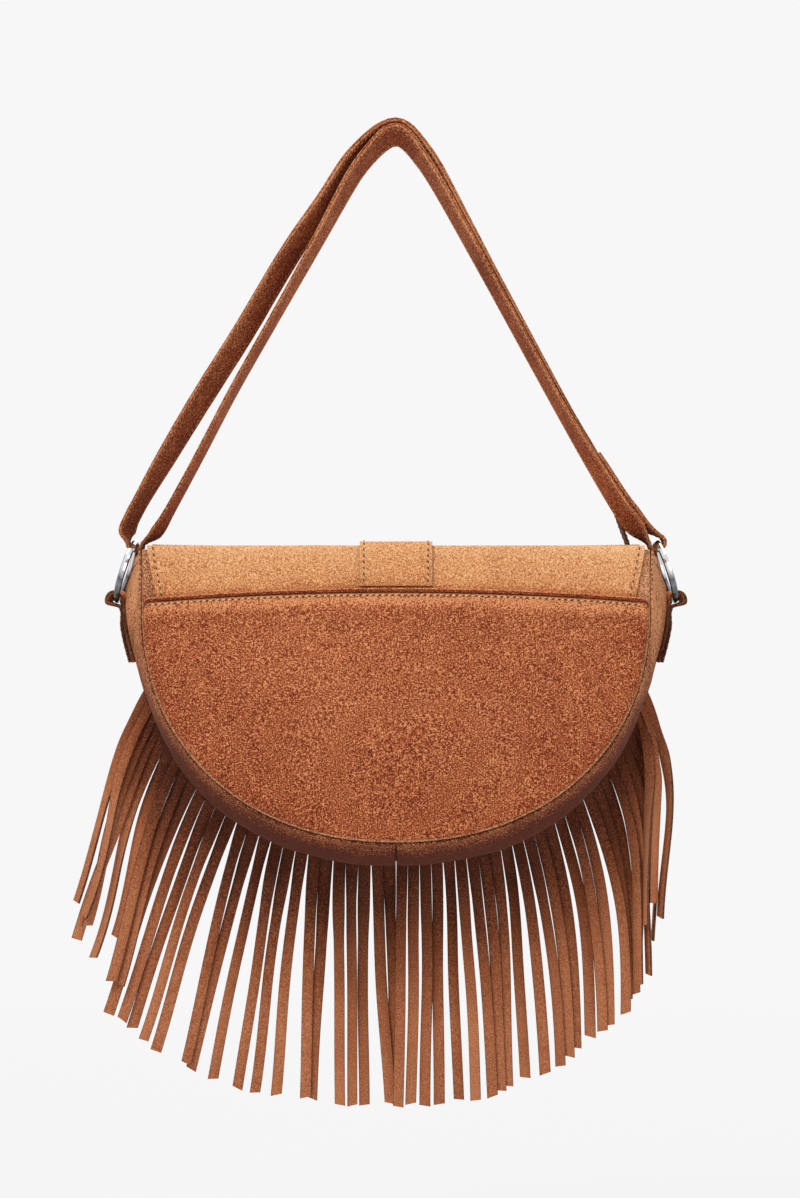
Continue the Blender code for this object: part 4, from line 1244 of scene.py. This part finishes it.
STRIP_ROOT = 0.0040  # how far each strip starts inside that band
STRIP_WIDTH = (0.0049, 0.0056)
STRIP_STEPS = 34
# The cut section of a strip, as shares of its half width and half thickness, from its back face round to its front
STRIP_SECTION = ((-0.93, -1), (0, -0.92), (0.93, -1), (1, -0.6), (1, 0.6), (0.93, 1), (0, 1.04), (-0.93, 1), (-1, 0.6),
                 (-1, -0.6))


def header_point(run, out_by, side):
    point, out = seam_at(run, side)
    spot = point + out * out_by
    spot.y = half_depth(point.z) + GAP + FRINGE_LEATHER / 2
    return spot


def uncut_at(run):
    return UNCUT * (1 - 0.35 * smooth((run / FRINGE_START - 0.75) / 0.25))


def strip_middle(start, first_way, tip, last_way, hang, t):
    length = (tip - start).length
    b, c = start + first_way * length * 0.33, tip - last_way * length * hang
    return start * (1 - t) ** 3 + b * 3 * t * (1 - t) ** 2 + c * 3 * t * t * (1 - t) + tip * t**3


def fringe_half(name, side, ends, leave, straighten, hang, edge_on):
    """Strips from the uncut band to their ends, each with its own width, nap, sway and twist."""
    looks = random.Random(40 + side)
    bm = bmesh.new()
    tones = []
    pitch = FRINGE_START / len(ends)
    for number, (reach, drop) in enumerate(ends):
        low, high = GAP / 2 + number * pitch, GAP / 2 + (number + 1) * pitch
        share = (number + 0.5) / len(ends)
        root = uncut_at(low) - STRIP_ROOT
        head = header_point(high, root, side) - header_point(low, root, side)
        start = (header_point(high, root, side) + header_point(low, root, side)) / 2
        _, out = seam_at((low + high) / 2, side)
        tip = Vector((side * reach / 1000, start.y, -drop / 1000))
        chord = (tip - start).normalized()
        first_way = chord.lerp(out, mix(0.40, leave, share)).normalized()
        last_way = chord.lerp(-UP, straighten * smooth(share * 1.6)).normalized()
        layer = side * STRIP_LAYER * (number % STRIP_LAYERS - (STRIP_LAYERS - 1) / 2)
        own_width = looks.uniform(*STRIP_WIDTH)
        opens = looks.uniform(0.0, 0.34)
        outer = smooth((share - 0.62) / 0.22)
        last = smooth((share - 0.88) / 0.06)
        twist = edge_on * outer * looks.uniform(0.8, 1.1) * looks.choice((-side, -side, side * 0.4))
        twist += looks.uniform(-0.10, 0.10)
        sway = looks.uniform(-1, 1) * mix(0.0008, 0.0020, outer)
        phase = looks.uniform(0, 6.28)
        nap = looks.uniform(-0.20, 0.20)
        cut = looks.uniform(-0.0009, 0.0009)
        rings = []
        for step in range(STRIP_STEPS + 1):
            t = step / STRIP_STEPS
            here = strip_middle(start, first_way, tip, last_way, hang, t)
            ahead = strip_middle(start, first_way, tip, last_way, hang, min(1.0, t + 0.02))
            behind = strip_middle(start, first_way, tip, last_way, hang, max(0.0, t - 0.02))
            way = (ahead - behind).normalized()
            across = way.cross(AWAY).normalized()
            if across.dot(head) < 0:
                across = -across
            head_width = 1.01 * abs(across.dot(head))
            width = mix(head_width, own_width, smooth((t - opens) / 0.16))
            here = here + AWAY * (layer * smooth((t - 0.03) / 0.16) + FRINGE_LEATHER * (0.5 if number % 2 else 1.2) * (1 - smooth(t / 0.1)) * 0.12)
            here = here + across * sway * math.sin(phase + 5.5 * t) * smooth(t * 1.6)
            angle = twist * smooth((t - 0.12) / 0.5)
            across = across * math.cos(angle) + AWAY * math.sin(angle)
            through = way.cross(across).normalized()
            if through.y < 0:
                through = -through
            skew = cut if step == STRIP_STEPS else 0.0
            # Painted shadow: the strips are dark at the roots under the gusset and lighter towards the tips, the
            # outermost strips less dark at the root and lighter along their length; nap and the wobble are each strip's
            # own tone.
            shade = mix(mix(-1.05, -0.2, last), 0.50 + 0.2 * outer, smooth((t - 0.02) / mix(0.78, 0.55, outer))) + nap * smooth(t * 3) + 0.15 * wobble(here.x, 0, here.z, 0.02, 7)
            ring = []
            for a, b in STRIP_SECTION:
                spot = here + across * width / 2 * a + through * FRINGE_LEATHER / 2 * b + way * skew * a
                ring.append(bm.verts.new(spot))
                tones.append(shade)
            rings.append(ring)
        count = len(STRIP_SECTION)
        for a, b in zip(rings, rings[1:]):
            for k in range(count):
                m = (k + 1) % count
                face = bm.faces.new((a[k], a[m], b[m], b[k]))
                face.material_index = 1 if k in (2, 3, 4, 7, 8, 9) else 0
        bm.faces.new(rings[0]).material_index = 1
        bm.faces.new(rings[-1]).material_index = 1
    bmesh.ops.recalc_face_normals(bm, faces=bm.faces)
    made = link_mesh(name, bm, [FRINGE_SUEDE, EDGE_SUEDE], angle=60)
    stored = made.data.attributes.new("tone", "FLOAT", "POINT")
    stored.data.foreach_set("value", tones)
    return made


def header_band(name, side):
    """The uncut edge of the fringe, sewn in the seam, above the strips."""
    outer, inner = [], []
    for part in (0, 0.25, 0.5, 0.75, 1):
        ring_out, ring_in = [], []
        for i in range(91):
            run = mix(GAP / 2, FRINGE_START, i / 90)
            spot = header_point(run, mix(-HEADER_IN, uncut_at(run), part), side)
            ring_in.append(spot - AWAY * FRINGE_LEATHER / 2)
            ring_out.append(spot + AWAY * FRINGE_LEATHER / 2)
        outer.append(ring_out)
        inner.append(ring_in)
    made = shell(name, outer, inner, [FRINGE_SUEDE, EDGE_SUEDE], edge=0.0)
    # The whole band is painted dark: painted shadow under the gusset.
    set_tone(made, lambda p: -1.1)
    return made


for side, word, *shape in (
    (LEFT, "left", ENDS_LEFT, 0.28, 0.0, 0.30, 0.85), (RIGHT, "right", ENDS_RIGHT, 0.36, 1.0, 0.45, 1.35),
):
    place(fringe_half(f"fringe_{word}_suede", side, *shape), "fringe_suede", f"fringe_{word}")
    place(header_band(f"fringe_{word}_band", side), "fringe_suede")


# The rings and the snap keep their solids

for name in ("ring_left", "ring_right", "snap_socket", "snap_stud"):
    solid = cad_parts[name]
    for slot in solid.material_slots:
        slot.material = DARK_NICKEL


# Floor, lights and camera


def seen_directly(tree):
    """1 for rays from the camera, from metal and through clear things."""
    path = node(tree, "ShaderNodeLightPath")
    total = path.outputs["Is Camera Ray"]
    for kind in ("Is Glossy Ray", "Is Transmission Ray"):
        both = node(tree, "ShaderNodeMath", operation="MAXIMUM")
        tree.links.new(total, both.inputs[0])
        tree.links.new(path.outputs[kind], both.inputs[1])
        total = both.outputs[0]
    return total


def floor_material(colour):
    """A pale floor that keeps its shadow under the bag and melts into the background farther out."""
    made = bpy.data.materials.new("Floor")
    made.use_nodes = True
    tree = made.node_tree
    shader = tree.nodes["Principled BSDF"]
    grain = node(tree, "ShaderNodeTexNoise", Scale=40.0, Detail=2.0)
    tint = ramp(tree, grain.outputs["Fac"], ((0.0, tuple(c * 0.995 for c in colour)), (1.0, colour)))
    tree.links.new(tint, shader.inputs["Base Color"])
    shader.inputs["Roughness"].default_value = 1.0
    shader.inputs["Specular IOR Level"].default_value = 0.0
    coord = node(tree, "ShaderNodeTexCoord")
    away = node(tree, "ShaderNodeVectorMath", operation="LENGTH")
    tree.links.new(coord.outputs["Object"], away.inputs[0])
    glow = node(tree, "ShaderNodeMapRange")
    tree.links.new(away.outputs["Value"], glow.inputs["Value"])
    for key, value in (("From Min", 0.5), ("From Max", 1.6), ("To Min", 0.82), ("To Max", 1.0)):
        glow.inputs[key].default_value = value
    share = node(tree, "ShaderNodeMath", operation="MULTIPLY")
    tree.links.new(seen_directly(tree), share.inputs[0])
    tree.links.new(glow.outputs["Result"], share.inputs[1])
    light = node(tree, "ShaderNodeEmission", Color=(*colour, 1), Strength=1.0)
    both = node(tree, "ShaderNodeMixShader")
    tree.links.new(share.outputs[0], both.inputs["Fac"])
    tree.links.new(shader.outputs[0], both.inputs[1])
    tree.links.new(light.outputs[0], both.inputs[2])
    tree.links.new(both.outputs[0], tree.nodes["Material Output"].inputs["Surface"])
    return made


BACKGROUND = (0.93, 0.93, 0.93)
FLOOR_REACH = 40.0
bm = bmesh.new()
bm.faces.new([bm.verts.new((x * FLOOR_REACH, y * FLOOR_REACH, 0)) for x, y in ((-1, -1), (1, -1), (1, 1), (-1, 1))])
floor = link_mesh("floor", bm, [floor_material(BACKGROUND)])
floor.location = (0, 0, -0.56)


def lamp(name, spot, target, size, watts):
    data = bpy.data.lights.new(name, "AREA")
    data.shape = "RECTANGLE"
    data.size, data.size_y = size
    data.energy = watts
    made = bpy.data.objects.new(name, data)
    made.location = spot
    made.rotation_euler = (Vector(target) - Vector(spot)).to_track_quat("-Z", "Y").to_euler()
    bpy.context.scene.collection.objects.link(made)


MIDDLE = (0, 0, -0.26)
lamp("key", (-0.7, -1.5, 1.3), MIDDLE, (1.0, 1.0), 24)
lamp("fill", (1.3, -1.4, 0.3), MIDDLE, (1.4, 1.4), 5)
lamp("top", (0.0, 0.2, 1.5), MIDDLE, (1.6, 1.2), 15)
lamp("behind", (0.4, 1.6, 0.6), MIDDLE, (1.6, 1.2), 8)

world = bpy.data.worlds.new("Studio")
bpy.context.scene.world = world
world.use_nodes = True
tree = world.node_tree
room = tree.nodes["Background"]
room.inputs["Color"].default_value = (1, 1, 1, 1)
room.inputs["Strength"].default_value = 0.26
white = node(tree, "ShaderNodeBackground", Color=(*BACKGROUND, 1), Strength=1.0)
either = node(tree, "ShaderNodeMixShader")
tree.links.new(seen_directly(tree), either.inputs["Fac"])
tree.links.new(room.outputs[0], either.inputs[1])
tree.links.new(white.outputs[0], either.inputs[2])
tree.links.new(either.outputs[0], tree.nodes["World Output"].inputs["Surface"])

CAMERA_DISTANCE = 2.0
CAMERA_HEIGHT = -0.217
FRAME_HEIGHT = 0.5750  # of the photo at the object
camera_data = bpy.data.cameras.new("camera")
camera_data.sensor_fit = "VERTICAL"
camera_data.sensor_height = 36.0
camera_data.lens = 36.0 * CAMERA_DISTANCE / FRAME_HEIGHT
camera = bpy.data.objects.new("camera", camera_data)
camera.location = (0.0019, -CAMERA_DISTANCE, CAMERA_HEIGHT)
camera.rotation_euler = (math.pi / 2, 0, 0)
bpy.context.scene.collection.objects.link(camera)
bpy.context.scene.camera = camera
bpy.context.scene.view_settings.view_transform = "Standard"
